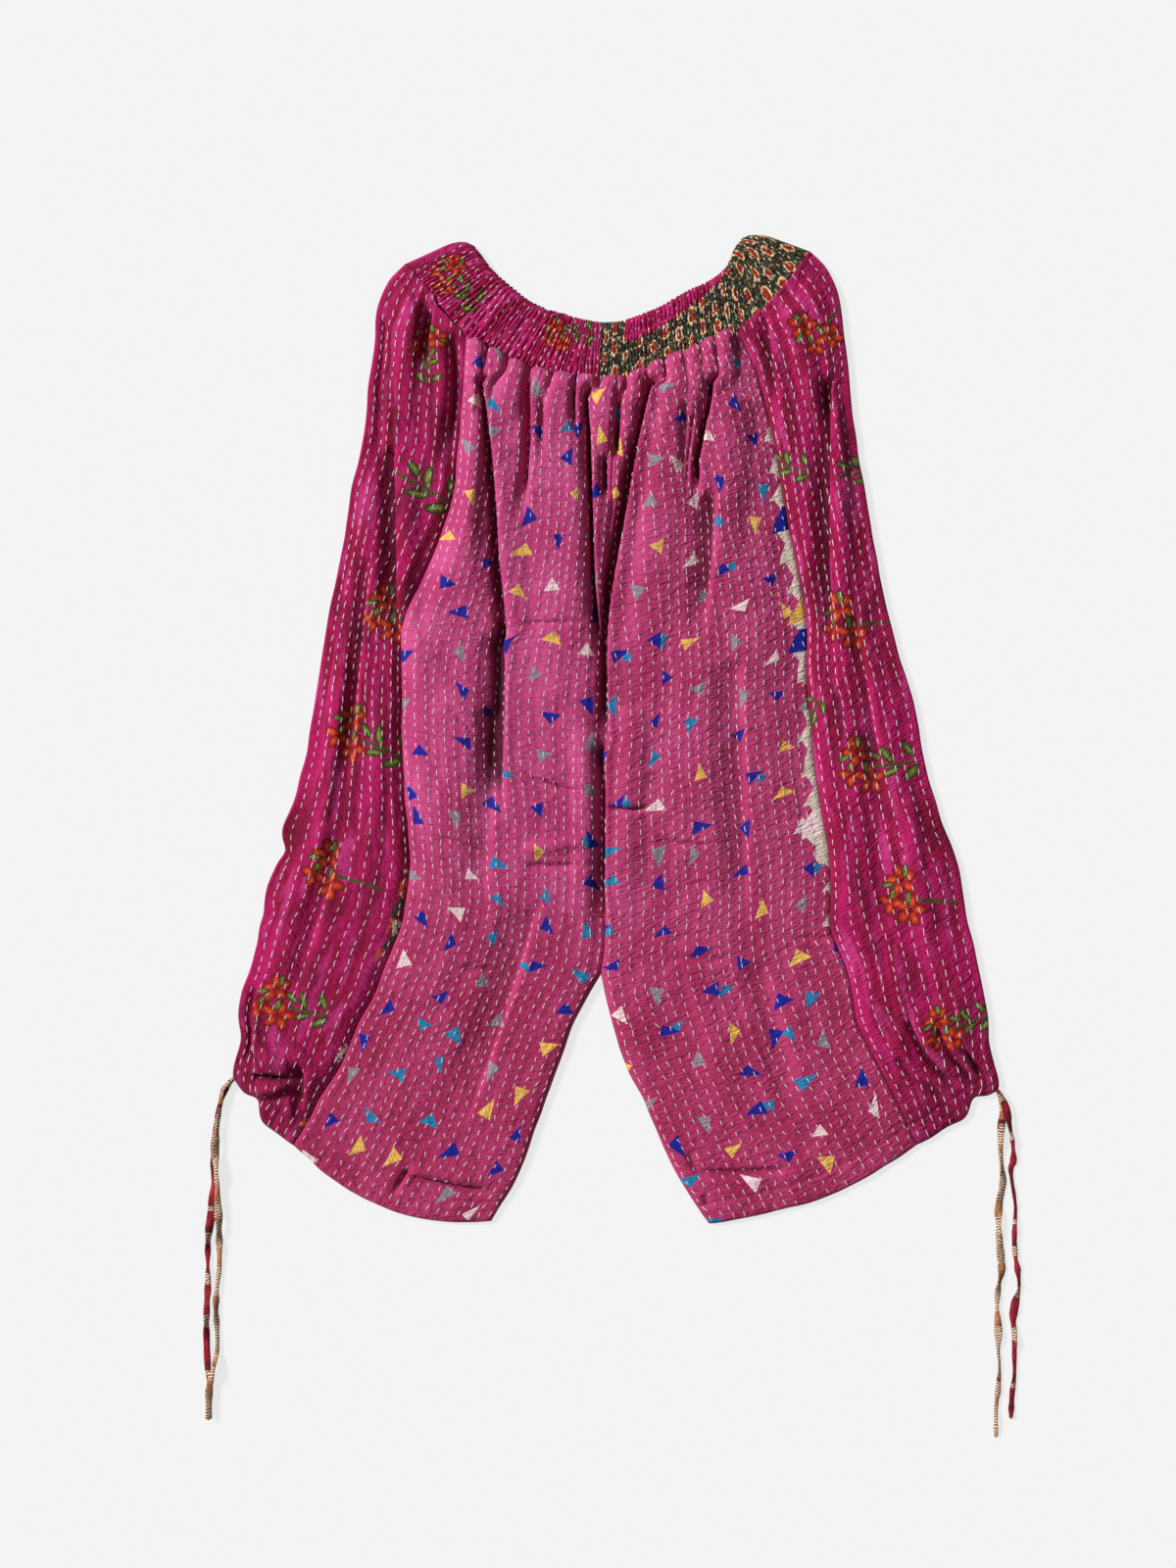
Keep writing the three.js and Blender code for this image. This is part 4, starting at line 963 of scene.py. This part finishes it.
stitches = []
for index, (name, leg) in enumerate(LEGS.items()):
    u, v = stitch_rows(FRONT_CUT, LEG_CUT, "front", 40 + index)
    surface = lambda u, v, leg=leg: leg_cloth(leg, v, np.clip(u, 0.001, 0.999))
    stitches.append(sew(f"stitches_front_{name}", surface, (u, v, 0.004, 0.003), "front", 50 + index))
    u, v = stitch_rows(SIDE_CUT, LEG_CUT, "side", 60 + index)
    surface = lambda u, v, leg=leg: side_cloth(leg, v, np.clip(u, 0.002, 0.97) * OVER)
    stitches.append(sew(f"stitches_side_{name}", surface, (u, v, 0.004, 0.003), "side", 70 + index))

# %% Stitches on the shirred band
for index, (name, first, last) in enumerate((("left", PRINT_STATION, 0.35), ("right", PRINT_STATION, 15.7))):
    u, v = stitch_rows(abs(first - last) * 24, BAND_HIGH, "band", 80 + index)
    surface = lambda u, v, first=first, last=last: band_cloth(mix(first, last, np.clip(u, 0, 1)), v)
    stitches.append(sew(f"stitches_band_{name}", surface, (u, v, 0.004, 0.03), "band", 90 + index))

# %% [markdown]
# ## Where the flowers are
#
# The magenta cotton was printed with small bouquets and leaf sprigs, and each panel was cut wherever it
# fitted, so the flowers stand where they happen to. Each has a middle on the table, a kind, a turn and a
# size. Every point of the cloth learns its place relative to the nearest one, before folding, so that a fold
# bends or hides a flower as it does on the real garment. The right front also keeps a torn pale border. Each
# point keeps its depth in the folds as well. The prints use it to darken the colour there, because a real fold
# turns far under itself and holds a deeper shade than this thin open shell would show.

# %% Tables of motifs and of the border
FLOWER, SPRIG, SCRAP, PLAIN_FLOWER = 1, 2, 3, 4
# x, y, kind, turn in degrees, size
MOTIFS = [
    (-146, 392, FLOWER, -38, 0.75), (-161, 334, FLOWER, -84, 0.72), (-190, 226, SPRIG, -24, 1.1),
    (-198, 99, PLAIN_FLOWER, 0, 1.0), (-231, -3, FLOWER, -14, 1.0), (-252, -122, PLAIN_FLOWER, -8, 1.0),
    (-295, -236, FLOWER, -4, 0.9),
    (172, 342, PLAIN_FLOWER, 60, 0.9), (190, 218, SPRIG, 24, 0.9), (126, 232, SPRIG, -4, 0.8),
    (198, 93, PLAIN_FLOWER, 12, 1.0), (211, -32, FLOWER, 16, 1.0), (156, -6, SPRIG, 70, 0.7),
    (248, -144, PLAIN_FLOWER, 4, 1.0), (284, -259, FLOWER, 28, 0.8),
    (-52, 340, FLOWER, 12, 0.62),
]
# y, and the width of the pale border there, in millimetres
BORDER = [
    (-196, 0), (-150, 3), (-120, 4), (-112, 13), (-84, 18), (-62, 9), (-20, 10), (0, 9), (34, 3), (52, 11),
    (84, 13), (110, 9), (140, 10), (160, 11), (190, 9), (216, 5), (250, 4), (272, 0),
]
SCRAPS = (-346, -122)       # y from and to, where bits of another print show along the left side seam


# %% Motif coordinates
def store(piece, name, values):
    """Keeps a number for each point of a piece, for its material to read."""
    piece.data.attributes.new(name, "FLOAT", "POINT").data.foreach_set("value", values)


def add_motifs(piece, x, y, scrap=None):
    """Stores each point's place relative to its nearest motif as a UV map, and the motif's kind."""
    best = np.full(x.shape, 1.0)
    across, upward, kinds = np.full(x.shape, 0.5), np.full(x.shape, 0.5), np.zeros(x.shape)
    for mx, my, kind, turn, size in MOTIFS:
        c, s = math.cos(math.radians(turn)), math.sin(math.radians(turn))
        px = ((x - mx) * c + (y - my) * s) / size
        py = ((y - my) * c - (x - mx) * s) / size
        off = ((px - 18) / 50) ** 2 + (py / 36) ** 2
        near = off < best
        best = np.where(near, off, best)
        across, upward, kinds = (np.where(near, a, b) for a, b in ((px * MM, across), (py * MM, upward),
                                                                   (float(kind), kinds)))
    if scrap is not None:
        kinds = np.where(scrap, float(SCRAP), kinds)
    mesh = piece.data
    corners = np.empty(len(mesh.loops), int)
    mesh.loops.foreach_get("vertex_index", corners)
    layer = mesh.uv_layers.new(name="motif")
    layer.data.foreach_set("uv", np.stack([across[corners], upward[corners]], axis=1).ravel())
    store(piece, "kind", kinds)
    return int((kinds > 0).sum())


def grid_places(columns, rows):
    """s and t of a shell's points, in the order in which its grid holds them."""
    s, t = np.meshgrid(np.linspace(0, 1, columns + 1), np.linspace(0, 1, rows + 1))
    return s.ravel(), t.ravel()


for name, leg in LEGS.items():
    s, t = grid_places(72, 300)
    s, t = side_grid(s), leg_rows(t)
    over = np.where(s < ROUND, 1 + np.clip(s / OVER, 0, 1), 2 - (s - ROUND) / (1 - ROUND))
    x, y = leg.point(t, over)
    hidden = np.where(s < ROUND, 0, 95)
    scrap = (leg.side < 0) & (s < 0.05) & (y > SCRAPS[0]) & (y < SCRAPS[1])
    print(name, "side, points on motifs:", add_motifs(sides[name], x, y + hidden, scrap))
    depth = leg_folded(leg, t, np.maximum(over, 1.0005))[3]
    store(sides[name], "depth", np.where(s < OVER, depth, 0))

s, t = grid_places(330, 30)
x, y = band_point(mix(PRINT_STATION, 0, np.clip(np.interp(s, [0, 0.93], [0, 1]), 0, 1)), t)
print("band, points on motifs:", add_motifs(band_left, x, y))

keys, widths = zip(*BORDER)
for name, leg in LEGS.items():
    s, t = grid_places(100, 400)
    x, y = leg.point(leg_rows(t), s)
    edge = leg.point(leg_rows(t), np.ones(s.shape))
    width = through(keys, widths, y) - np.hypot(edge[0] - x, edge[1] - y)
    width = np.where((leg.side > 0) & (y > keys[0]) & (y < keys[-1]), width, -99)
    store(fronts[name], "border", width)
    store(fronts[name], "depth", leg_folded(leg, leg_rows(t), np.clip(s, 0.0005, 1))[3])

# %% [markdown]
# ## Shader maths
#
# A pattern is a sum on every point of the cloth. Written as nodes it is hard to read, so one small class
# wraps a node's output and lets ordinary expressions add the Math nodes.


# %% Expressions that build nodes
def linear(red, green, blue):
    """A colour as it looks on a screen, 0 to 255, as the linear values that a shader takes."""
    parts = (c / 255 for c in (red, green, blue))
    return tuple(c / 12.92 if c <= 0.04045 else ((c + 0.055) / 1.055) ** 2.4 for c in parts) + (1.0,)


class Value:
    """The output of a node, for use in expressions."""

    def __init__(self, board, socket):
        self.board, self.socket = board, socket

    def maths(self, operation, *others, **settings):
        out = self.board.node("ShaderNodeMath", dict(operation=operation, **settings), [self, *others])
        return self.board.value(out)

    def __add__(self, other): return self.maths("ADD", other)
    def __radd__(self, other): return self.maths("ADD", other)
    def __sub__(self, other): return self.maths("SUBTRACT", other)
    def __rsub__(self, other): return self.board.constant(other).maths("SUBTRACT", self)
    def __mul__(self, other): return self.maths("MULTIPLY", other)
    def __rmul__(self, other): return self.maths("MULTIPLY", other)
    def __truediv__(self, other): return self.maths("DIVIDE", other)
    def __neg__(self): return self.maths("MULTIPLY", -1.0)
    def __abs__(self): return self.maths("ABSOLUTE")
    def __gt__(self, other): return self.maths("GREATER_THAN", other)
    def __lt__(self, other): return self.maths("LESS_THAN", other)
    def floor(self): return self.maths("FLOOR")
    def fract(self): return self.maths("FRACT")
    def sin(self): return self.maths("SINE")
    def cos(self): return self.maths("COSINE")
    def max(self, other): return self.maths("MAXIMUM", other)
    def min(self, other): return self.maths("MINIMUM", other)
    def power(self, other): return self.maths("POWER", other)
    def angle(self, other): return self.maths("ARCTAN2", other)

    def ramp(self, low, high):
        """0 below low, 1 above high, and a soft step between."""
        settings = dict(interpolation_type="SMOOTHSTEP")
        return self.board.value(self.board.node("ShaderNodeMapRange", settings, [self, low, high, 0.0, 1.0]))


class Board:
    """The node tree of one material."""

    def __init__(self, name):
        self.material = bpy.data.materials.new(name)
        self.material.use_nodes = True
        self.tree = self.material.node_tree
        self.shader = self.tree.nodes["Principled BSDF"]

    def node(self, kind, settings=None, inputs=()):
        """Adds a node: its settings first, then its sockets, by place or by name, from values or links."""
        node = self.tree.nodes.new(kind)
        for key, value in (settings or {}).items():
            setattr(node, key, value)
        pairs = inputs.items() if isinstance(inputs, dict) else enumerate(inputs)
        for key, value in pairs:
            self.plug(node.inputs[key], value)
        return node

    def plug(self, socket, value):
        if isinstance(value, Value):
            self.tree.links.new(value.socket, socket)
        elif isinstance(value, bpy.types.NodeSocket):
            self.tree.links.new(value, socket)
        else:
            socket.default_value = value

    def value(self, node, output=0):
        return Value(self, node.outputs[output])

    def constant(self, number):
        node = self.tree.nodes.new("ShaderNodeValue")
        node.outputs[0].default_value = number
        return self.value(node)

    def cloth(self, name="cloth"):
        """The two coordinates of the cloth's own UV map, in millimetres."""
        uv = self.node("ShaderNodeUVMap", dict(uv_map=name))
        parts = self.node("ShaderNodeSeparateXYZ", inputs=[uv.outputs[0]])
        return self.value(parts, 0) * 1000, self.value(parts, 1) * 1000

    def attribute(self, name):
        return self.value(self.node("ShaderNodeAttribute", dict(attribute_name=name)), 2)

    def vector(self, x, y, z=0.0):
        return self.node("ShaderNodeCombineXYZ", inputs=[x, y, z]).outputs[0]

    def noise(self, x, y, detail=3.0, rough=0.55):
        """Soft noise, 0 to 1, of coordinates that are already scaled to its size."""
        settings = dict(noise_dimensions="2D")
        inputs = {"Vector": self.vector(x, y), "Scale": 1.0, "Detail": detail, "Roughness": rough}
        return self.value(self.node("ShaderNodeTexNoise", settings, inputs))

    def chance(self, x, y, which):
        """Three random numbers for each pair of whole numbers; `which` gives another three."""
        node = self.node("ShaderNodeTexWhiteNoise", dict(noise_dimensions="3D"),
                         {"Vector": self.vector(x, y, float(which))})
        parts = self.node("ShaderNodeSeparateColor", inputs=[node.outputs["Color"]])
        return [self.value(parts, i) for i in range(3)]

    def mixed(self, share, a, b, blend="MIX"):
        """One colour laid over another by a share."""
        node = self.node("ShaderNodeMix", dict(data_type="RGBA", blend_type=blend))
        self.plug(node.inputs[0], share)
        self.plug(node.inputs[6], a)
        self.plug(node.inputs[7], b)
        return node.outputs[2]

    def finish(self, colour, relief, roughness=0.85, strength=0.6, sheen=0.25, sheen_tint=None):
        bump = self.node("ShaderNodeBump", inputs={"Strength": strength, "Distance": 0.001, "Height": relief})
        self.plug(self.shader.inputs["Base Color"], colour)
        self.plug(self.shader.inputs["Roughness"], roughness)
        self.plug(self.shader.inputs["Normal"], bump.outputs[0])
        self.shader.inputs["Specular IOR Level"].default_value = 0.25
        self.shader.inputs["Sheen Weight"].default_value = sheen
        self.shader.inputs["Sheen Roughness"].default_value = 0.5
        if sheen_tint:
            self.shader.inputs["Sheen Tint"].default_value = sheen_tint
        return self.material


# %% [markdown]
# ## The quilted surface
#
# Every cloth here has the same relief: a plain weave, a soft channel along each row of stitches, and small
# puckers across the rows, where the thread draws the two layers together.


# %% Relief of quilted cotton
def quilted(board, u, v, width, rows):
    channel = ((u / width * rows).fract() - 0.5) * 2
    pillow = 1 - channel * channel
    pucker = board.noise(u / 5.5, v / 2.2, 2.0)
    crumple = board.noise(u / 16, v / 7, 3.0)
    weave = (u * (2 * math.pi / 0.55)).sin() * (v * (2 * math.pi / 0.55)).sin()
    return pillow * 0.5 + pucker * 3.2 + crumple * 3.6 + weave * 0.04


def triangle(board, x, y, turn, wide, tall, lean):
    """Mask of a small triangle about the origin of x and y."""
    c, s = turn.cos(), turn.sin()
    px, py = x * c + y * s, y * c - x * s
    px = px + py * lean
    slope = wide / tall
    side = (abs(px) + py * slope - wide * 0.5)
    base = -py - tall * 0.45
    return 1 - side.max(base).ramp(-0.35, 0.35)


# %% Rose cotton with scattered triangles
BLUE = linear(4, 26, 142)
TURQUOISE = linear(20, 124, 172)
YELLOW = linear(232, 180, 84)
GREY = linear(140, 128, 140)
CREAM = linear(236, 206, 206)
CREAM_CLOTH = linear(216, 198, 184)


def triangle_tone(board, chance):
    """The colour of a triangle, by chance."""
    tone = board.mixed(chance > 0.36, BLUE, YELLOW)
    tone = board.mixed(chance > 0.54, tone, GREY)
    tone = board.mixed(chance > 0.74, tone, TURQUOISE)
    return board.mixed(chance > 0.87, tone, CREAM)


def rose_print():
    board = Board("rose print")
    u, v = board.cloth()
    shade = board.noise(u / 26, v / 60, 3.0)
    upper = board.mixed(shade.ramp(0.3, 0.7), linear(182, 56, 112), linear(206, 82, 140))
    lower = board.mixed(shade.ramp(0.3, 0.7), linear(160, 38, 84), linear(184, 58, 108))
    # Darker towards the hems. The right front is darkened as well, as painted shade, because it slopes away from the
    # lamp.
    darker_low_and_painted_shade = v.ramp(340, 600).max((u > 2 * FRONT_CUT) * 0.5)
    colour = board.mixed(darker_low_and_painted_shade, upper, lower)
    fine = board.noise(u / 1.4, v / 5.0, 2.0)
    colour = board.mixed(fine * 0.35, colour, linear(158, 34, 82))
    cell = 38.0
    column = (u / cell).floor()
    y = v / cell + (column * 0.5).fract()
    row = y.floor()
    a, b, c = board.chance(column, row, 1)
    d, e, f = board.chance(column, row, 2)
    g, h, k = board.chance(column, row, 3)
    x0 = ((u / cell).fract() - 0.5) * cell - (a - 0.5) * 19
    y0 = (y.fract() - 0.5) * cell - (b - 0.5) * 19
    turn = (c * 4).floor() * 1.571 + (h - 0.5) * 0.7
    mask = triangle(board, x0, y0, turn, 7 + d * 3.5, 9 + e * 4, f - 0.5)
    mate = triangle(board, x0 - 8, y0 - 1.5, turn + 3.0, 6 + e * 3, 7 + d * 3, 0.5 - f)
    worn = 1 - fine * 0.03
    colour = board.mixed(mate * (g < 0.1) * worn, colour, TURQUOISE)
    colour = board.mixed(mask * (h > 0.06) * worn, colour, triangle_tone(board, g))
    tooth = v / 27 + board.noise(v / 30, u / 90, 1.0) * 0.6
    width = board.attribute("border") + (abs(tooth.fract() - 0.35) - 0.32) * 16
    first, second, third = board.chance(tooth.floor(), tooth.floor(), 7)
    pale = board.mixed((first > 0.78) * (tooth.fract() > 0.3), CREAM_CLOTH, triangle_tone(board, second))
    colour = board.mixed(width.ramp(-0.3, 0.3), colour, pale)
    # Painted shade: the colour turns deep purple where the cloth lies deep in a fold.
    colour = board.mixed(board.attribute("depth").ramp(1.2, 10.5) * 0.85, colour, linear(58, 2, 22))
    relief = quilted(board, u, v, FRONT_CUT, int(FRONT_CUT / SEWING["front"][2]))
    return board.finish(colour, relief, sheen=0.08, sheen_tint=linear(255, 190, 212))


# %% Flowers and leaves
def turned(x, y, degrees):
    c, s = math.cos(math.radians(degrees)), math.sin(math.radians(degrees))
    return x * c + y * s, y * c - x * s


def leaf(x, y, at, degrees, long, wide):
    """Below 1 inside a pointed leaf."""
    along, across = turned(x - at[0], y - at[1], degrees)
    along = along / long
    return abs(across) / wide + along * along


def oval(x, y, at, degrees, long, wide):
    """Below 1 inside an oval."""
    along, across = turned(x - at[0], y - at[1], degrees)
    along, across = along / long, across / wide
    return along * along + across * across


def rosette(x, y, at, count, phase, out, long, wide):
    """Below 1 inside any of the petals round a middle."""
    x, y = x - at[0], y - at[1]
    radius = (x * x + y * y).power(0.5)
    local = ((y.angle(x) * (count / 6.2832) + phase).fract() - 0.5) * (6.2832 / count)
    along, across = (radius * local.cos() - out) / long, radius * local.sin() / wide
    return along * along + across * across


# middle, petals, turn, distance out, half length, half width
PETALS = [((-1, 12), 5, 0.1, 7.8, 7.4, 4.9), ((5, -14), 5, 0.45, 7.6, 7.2, 4.8), ((-11, -6), 4, 0.7, 6.0, 6.4, 4.4)]
# middle, turn, half length, half width
BUDS = [((3, 20), 84, 6.5, 2.8), ((-13, 9), 8, 6.5, 2.6), ((4, -3), 80, 6.5, 2.8), ((-9, 1), 70, 5.0, 2.4)]
LEAVES = [((15, 4), -42, 9.0, 3.8), ((26, 2), 106, 10.0, 4.2), ((25, -13), 10, 10.0, 4.0), ((45, 2), 112, 10.0, 4.2),
          ((42, -18), 28, 10.5, 4.8)]


def nearest(values):
    """The smallest of several expressions."""
    first, *rest = values
    for value in rest:
        first = first.min(value)
    return first


def with_flowers(board, colour):
    kind = board.attribute("kind")
    x, y = board.cloth("motif")
    wobble = board.noise(x / 4, y / 4, 2.0) - 0.5
    x, y = x + wobble * 1.6, y + wobble * 1.2
    flower = (abs(kind - FLOWER) < 0.02).max(abs(kind - PLAIN_FLOWER) < 0.02)
    leafy = (kind > 0.98) * (kind < 2.02)
    petals = nearest([rosette(x, y, *each) for each in PETALS])
    buds = nearest([oval(x, y, *each) for each in BUDS])
    leaves = nearest([leaf(x, y, *each) for each in LEAVES])
    stem = abs(y + 3 + x * 0.16) * 0.7
    on_stem = (1 - stem.ramp(0.8, 1.2)) * (x > 5) * (x < 48)
    colour = board.mixed(on_stem * (flower.max(leafy)), colour, linear(70, 74, 30))
    inside = 1 - leaves.ramp(0.9, 1.0)
    green = board.mixed(leaves.ramp(0.5, 0.8), linear(88, 98, 36), linear(40, 42, 18))
    green = board.mixed(1 - leaves.ramp(0.05, 0.35), green, linear(142, 148, 74))
    colour = board.mixed(inside * leafy, colour, green)
    red = board.mixed(petals.ramp(0.3, 0.8), linear(176, 36, 16), linear(104, 8, 20))
    red = board.mixed(1 - petals.ramp(0.0, 0.26), red, linear(208, 78, 38))
    colour = board.mixed((1 - petals.ramp(0.92, 1.02)) * flower, colour, red)
    green = board.mixed(buds.ramp(0.2, 0.7), linear(116, 122, 56), linear(50, 46, 22))
    return board.mixed((1 - buds.ramp(0.92, 1.02)) * flower, colour, green)


def with_scraps(board, u, v, colour):
    """Bits of another print that show along a seam."""
    bend = board.noise(u / 4, v / 5, 2.0)
    a, b, c = board.chance((u / 5 + bend * 1.5).floor(), (v / 12 + bend * 2).floor(), 4)
    tone = board.mixed(a > 0.4, linear(52, 60, 40), linear(200, 84, 50))
    tone = board.mixed(a > 0.75, tone, CREAM_CLOTH)
    return board.mixed((abs(board.attribute("kind") - SCRAP) < 0.02) * (b > 0.66), colour, tone)


# %% Magenta cotton, mottled along its length
def magenta_floral():
    board = Board("magenta floral")
    u, v = board.cloth()
    streak = board.noise(u / 14, v / 95, 4.0, 0.62)
    colour = board.mixed(streak.ramp(0.36, 0.6), linear(142, 0, 54), linear(180, 16, 94))
    light = board.noise(u / 9 + 7, v / 60, 3.0)
    colour = board.mixed(light.ramp(0.52, 0.68) * 0.7, colour, linear(202, 58, 134))
    dark = board.noise(u / 20 + 3, v / 70 + 5, 3.0)
    colour = board.mixed(dark.ramp(0.52, 0.7) * 0.7, colour, linear(104, 0, 40))
    fine = board.noise(u / 1.2, v / 6.0, 2.0)
    colour = board.mixed(fine * 0.3, colour, linear(134, 6, 62))
    # Painted shade: the side panels darken over their last hundred millimetres above the hem, where the corners
    # bunch up.
    colour = board.mixed(v.ramp(640, 730) * 0.45, colour, linear(96, 0, 38))
    colour = with_scraps(board, u, v, with_flowers(board, colour))
    # Painted shade: the colour turns deep crimson where the cloth lies deep in a fold.
    colour = board.mixed(board.attribute("depth").ramp(1.5, 8.0) * 0.8, colour, linear(58, 0, 20))
    relief = quilted(board, u, v, SIDE_CUT, int(SIDE_CUT / SEWING["side"][2]))
    return board.finish(colour, relief, sheen=0.08, sheen_tint=linear(255, 170, 205))


# %% Dark green cotton with red ovals
def green_print():
    board = Board("green print")
    u, v = board.cloth()
    wobble = board.noise(u / 5, v / 7, 2.0) - 0.5
    x = u / 13.0
    y = v / 19.0 + (x.floor() * 0.5).fract()
    a, b, c = board.chance(x.floor(), y.floor(), 5)
    px = (x.fract() - 0.5) * 13 - (a - 0.5) * 4 + wobble * 4
    py = (y.fract() - 0.5) * 19 - (b - 0.5) * 5
    size = 0.75 + c * 0.4
    shape = (px / 3.3) * (px / 3.3) + (py / 7.0) * (py / 7.0)
    shape = shape / (size * size)
    speck = board.noise(u / 1.3, v / 3.6, 2.0)
    ground = board.mixed(board.noise(u / 3, v / 6).ramp(0.4, 0.6), linear(22, 28, 20), linear(42, 56, 34))
    colour = board.mixed(speck.ramp(0.63, 0.69), ground, linear(214, 184, 130))
    red_speck = board.noise(u / 2.2 + 9, v / 4.5, 2.0)
    colour = board.mixed(red_speck.ramp(0.63, 0.69), colour, linear(150, 40, 24))
    colour = board.mixed(1 - shape.ramp(0.95, 1.1), colour, linear(220, 190, 136))
    colour = board.mixed(1 - shape.ramp(0.48, 0.6), colour, linear(160, 34, 22))
    relief = quilted(board, u, v, 400, 90)
    return board.finish(colour, relief, sheen=0.15)


def thread_material():
    board = Board("thread")
    place = board.node("ShaderNodeTexCoord")
    twist = board.value(board.node("ShaderNodeTexNoise", None,
                                   {"Vector": place.outputs["Object"], "Scale": 900.0, "Detail": 1.0}))
    colour = board.mixed(twist, linear(240, 228, 228), linear(214, 186, 192))
    return board.finish(colour, twist, strength=0.2, sheen=0.1)


def tape_material(name, plain, other, striped):
    """A strip pieced from scraps: plain cloth, another plain cloth, and cloth with fine cream cross stripes."""
    board = Board(name)
    u, v = board.cloth()
    bend = board.noise(u / 4, v / 6, 2.0)
    scrap = board.noise(v / 19 + 3, u / 60, 1.0)
    colour = board.mixed(board.noise(u / 3, v / 9, 2.0).ramp(0.35, 0.65), plain, other)
    second = board.noise(v / 24 + 11, u / 40, 1.0)
    colour = board.mixed(second.ramp(0.56, 0.58), colour, linear(104, 22, 34))
    lines = ((v / 2.3 + u / 9.0 + bend * 1.4) * 6.283).sin()
    stripes = board.mixed(lines.ramp(-0.3, 0.3), linear(112, 66, 46), linear(226, 200, 172))
    colour = board.mixed(scrap.ramp(striped, striped + 0.02), colour, stripes)
    return board.finish(colour, lines * 0.3 + bend * 2.0 + board.noise(u, v) * 0.8, sheen=0.1)


rose = rose_print()
magenta = magenta_floral()
green = green_print()
cream_thread = thread_material()
tan = tape_material("tan tape", linear(150, 96, 66), linear(186, 128, 88), 0.44)
dark_red = tape_material("dark red tape", linear(116, 14, 34), linear(164, 30, 48), 0.60)

for piece in [*fronts.values(), *backs.values()]:
    piece.data.materials.append(rose)
for piece in [*sides.values(), band_left, edge_strip, band_back]:
    piece.data.materials.append(magenta)
band_right.data.materials.append(green)
for piece in stitches:
    piece.data.materials.append(cream_thread)
for name, piece in ties.items():
    piece.data.materials.append(tan if name.endswith("tan") else dark_red)

# %% [markdown]
# ## Table and light
#
# One far soft lamp, fairly low in the upper left, rakes across the folds, and a weak sky lights the rest. The
# table is almost white; most of what the camera sees of it is a plain glow, so that it stays even, and a part
# of it is lit, so that the cloth still casts a soft shadow. The sky is seen in the same pale tone.


# %% Table
def table_top():
    bm = bmesh.new()
    bmesh.ops.create_grid(bm, x_segments=1, y_segments=1, size=6)
    mesh = bpy.data.meshes.new("table_top")
    bm.to_mesh(mesh)
    bm.free()
    top = bpy.data.objects.new("table_top", mesh)
    bpy.context.collection.objects.link(top)
    material = bpy.data.materials.new("table top")
    material.use_nodes = True
    tree = material.node_tree
    shader = tree.nodes["Principled BSDF"]
    shader.inputs["Base Color"].default_value = linear(232, 232, 232)
    shader.inputs["Roughness"].default_value = 0.9
    shader.inputs["Specular IOR Level"].default_value = 0.0
    glow = tree.nodes.new("ShaderNodeEmission")
    glow.inputs["Color"].default_value = linear(247, 247, 247)
    rays = tree.nodes.new("ShaderNodeLightPath")
    share = tree.nodes.new("ShaderNodeMath")
    share.operation = "MULTIPLY"
    share.inputs[1].default_value = 0.82
    tree.links.new(rays.outputs["Is Camera Ray"], share.inputs[0])
    blend = tree.nodes.new("ShaderNodeMixShader")
    tree.links.new(share.outputs[0], blend.inputs[0])
    tree.links.new(shader.outputs[0], blend.inputs[1])
    tree.links.new(glow.outputs[0], blend.inputs[2])
    tree.links.new(blend.outputs[0], tree.nodes["Material Output"].inputs[0])
    mesh.materials.append(material)


table_top()


# %% Lamps and sky
def sun(name, towards, softness, power):
    """A far lamp in the direction `towards`, as wide as `softness` degrees of the sky."""
    data = bpy.data.lights.new(name, "SUN")
    data.angle = math.radians(softness)
    data.energy = power
    piece = bpy.data.objects.new(name, data)
    piece.location = towards
    piece.rotation_mode = "QUATERNION"
    piece.rotation_quaternion = Vector(towards).to_track_quat("Z", "Y")
    bpy.context.collection.objects.link(piece)


sun("key", (-1.0, 0.5, 0.76), 14, 4.4)

world = bpy.data.worlds.new("sky")
bpy.context.scene.world = world
world.use_nodes = True
sky = world.node_tree
light = sky.nodes["Background"]
light.inputs["Color"].default_value = (1, 1, 1, 1)
light.inputs["Strength"].default_value = 0.16
seen = sky.nodes.new("ShaderNodeBackground")
seen.inputs["Color"].default_value = linear(243, 243, 243)
rays = sky.nodes.new("ShaderNodeLightPath")
either = sky.nodes.new("ShaderNodeMixShader")
sky.links.new(rays.outputs["Is Camera Ray"], either.inputs[0])
sky.links.new(light.outputs[0], either.inputs[1])
sky.links.new(seen.outputs[0], either.inputs[2])
sky.links.new(either.outputs[0], sky.nodes["World Output"].inputs[0])
bpy.context.scene.view_settings.view_transform = "Standard"
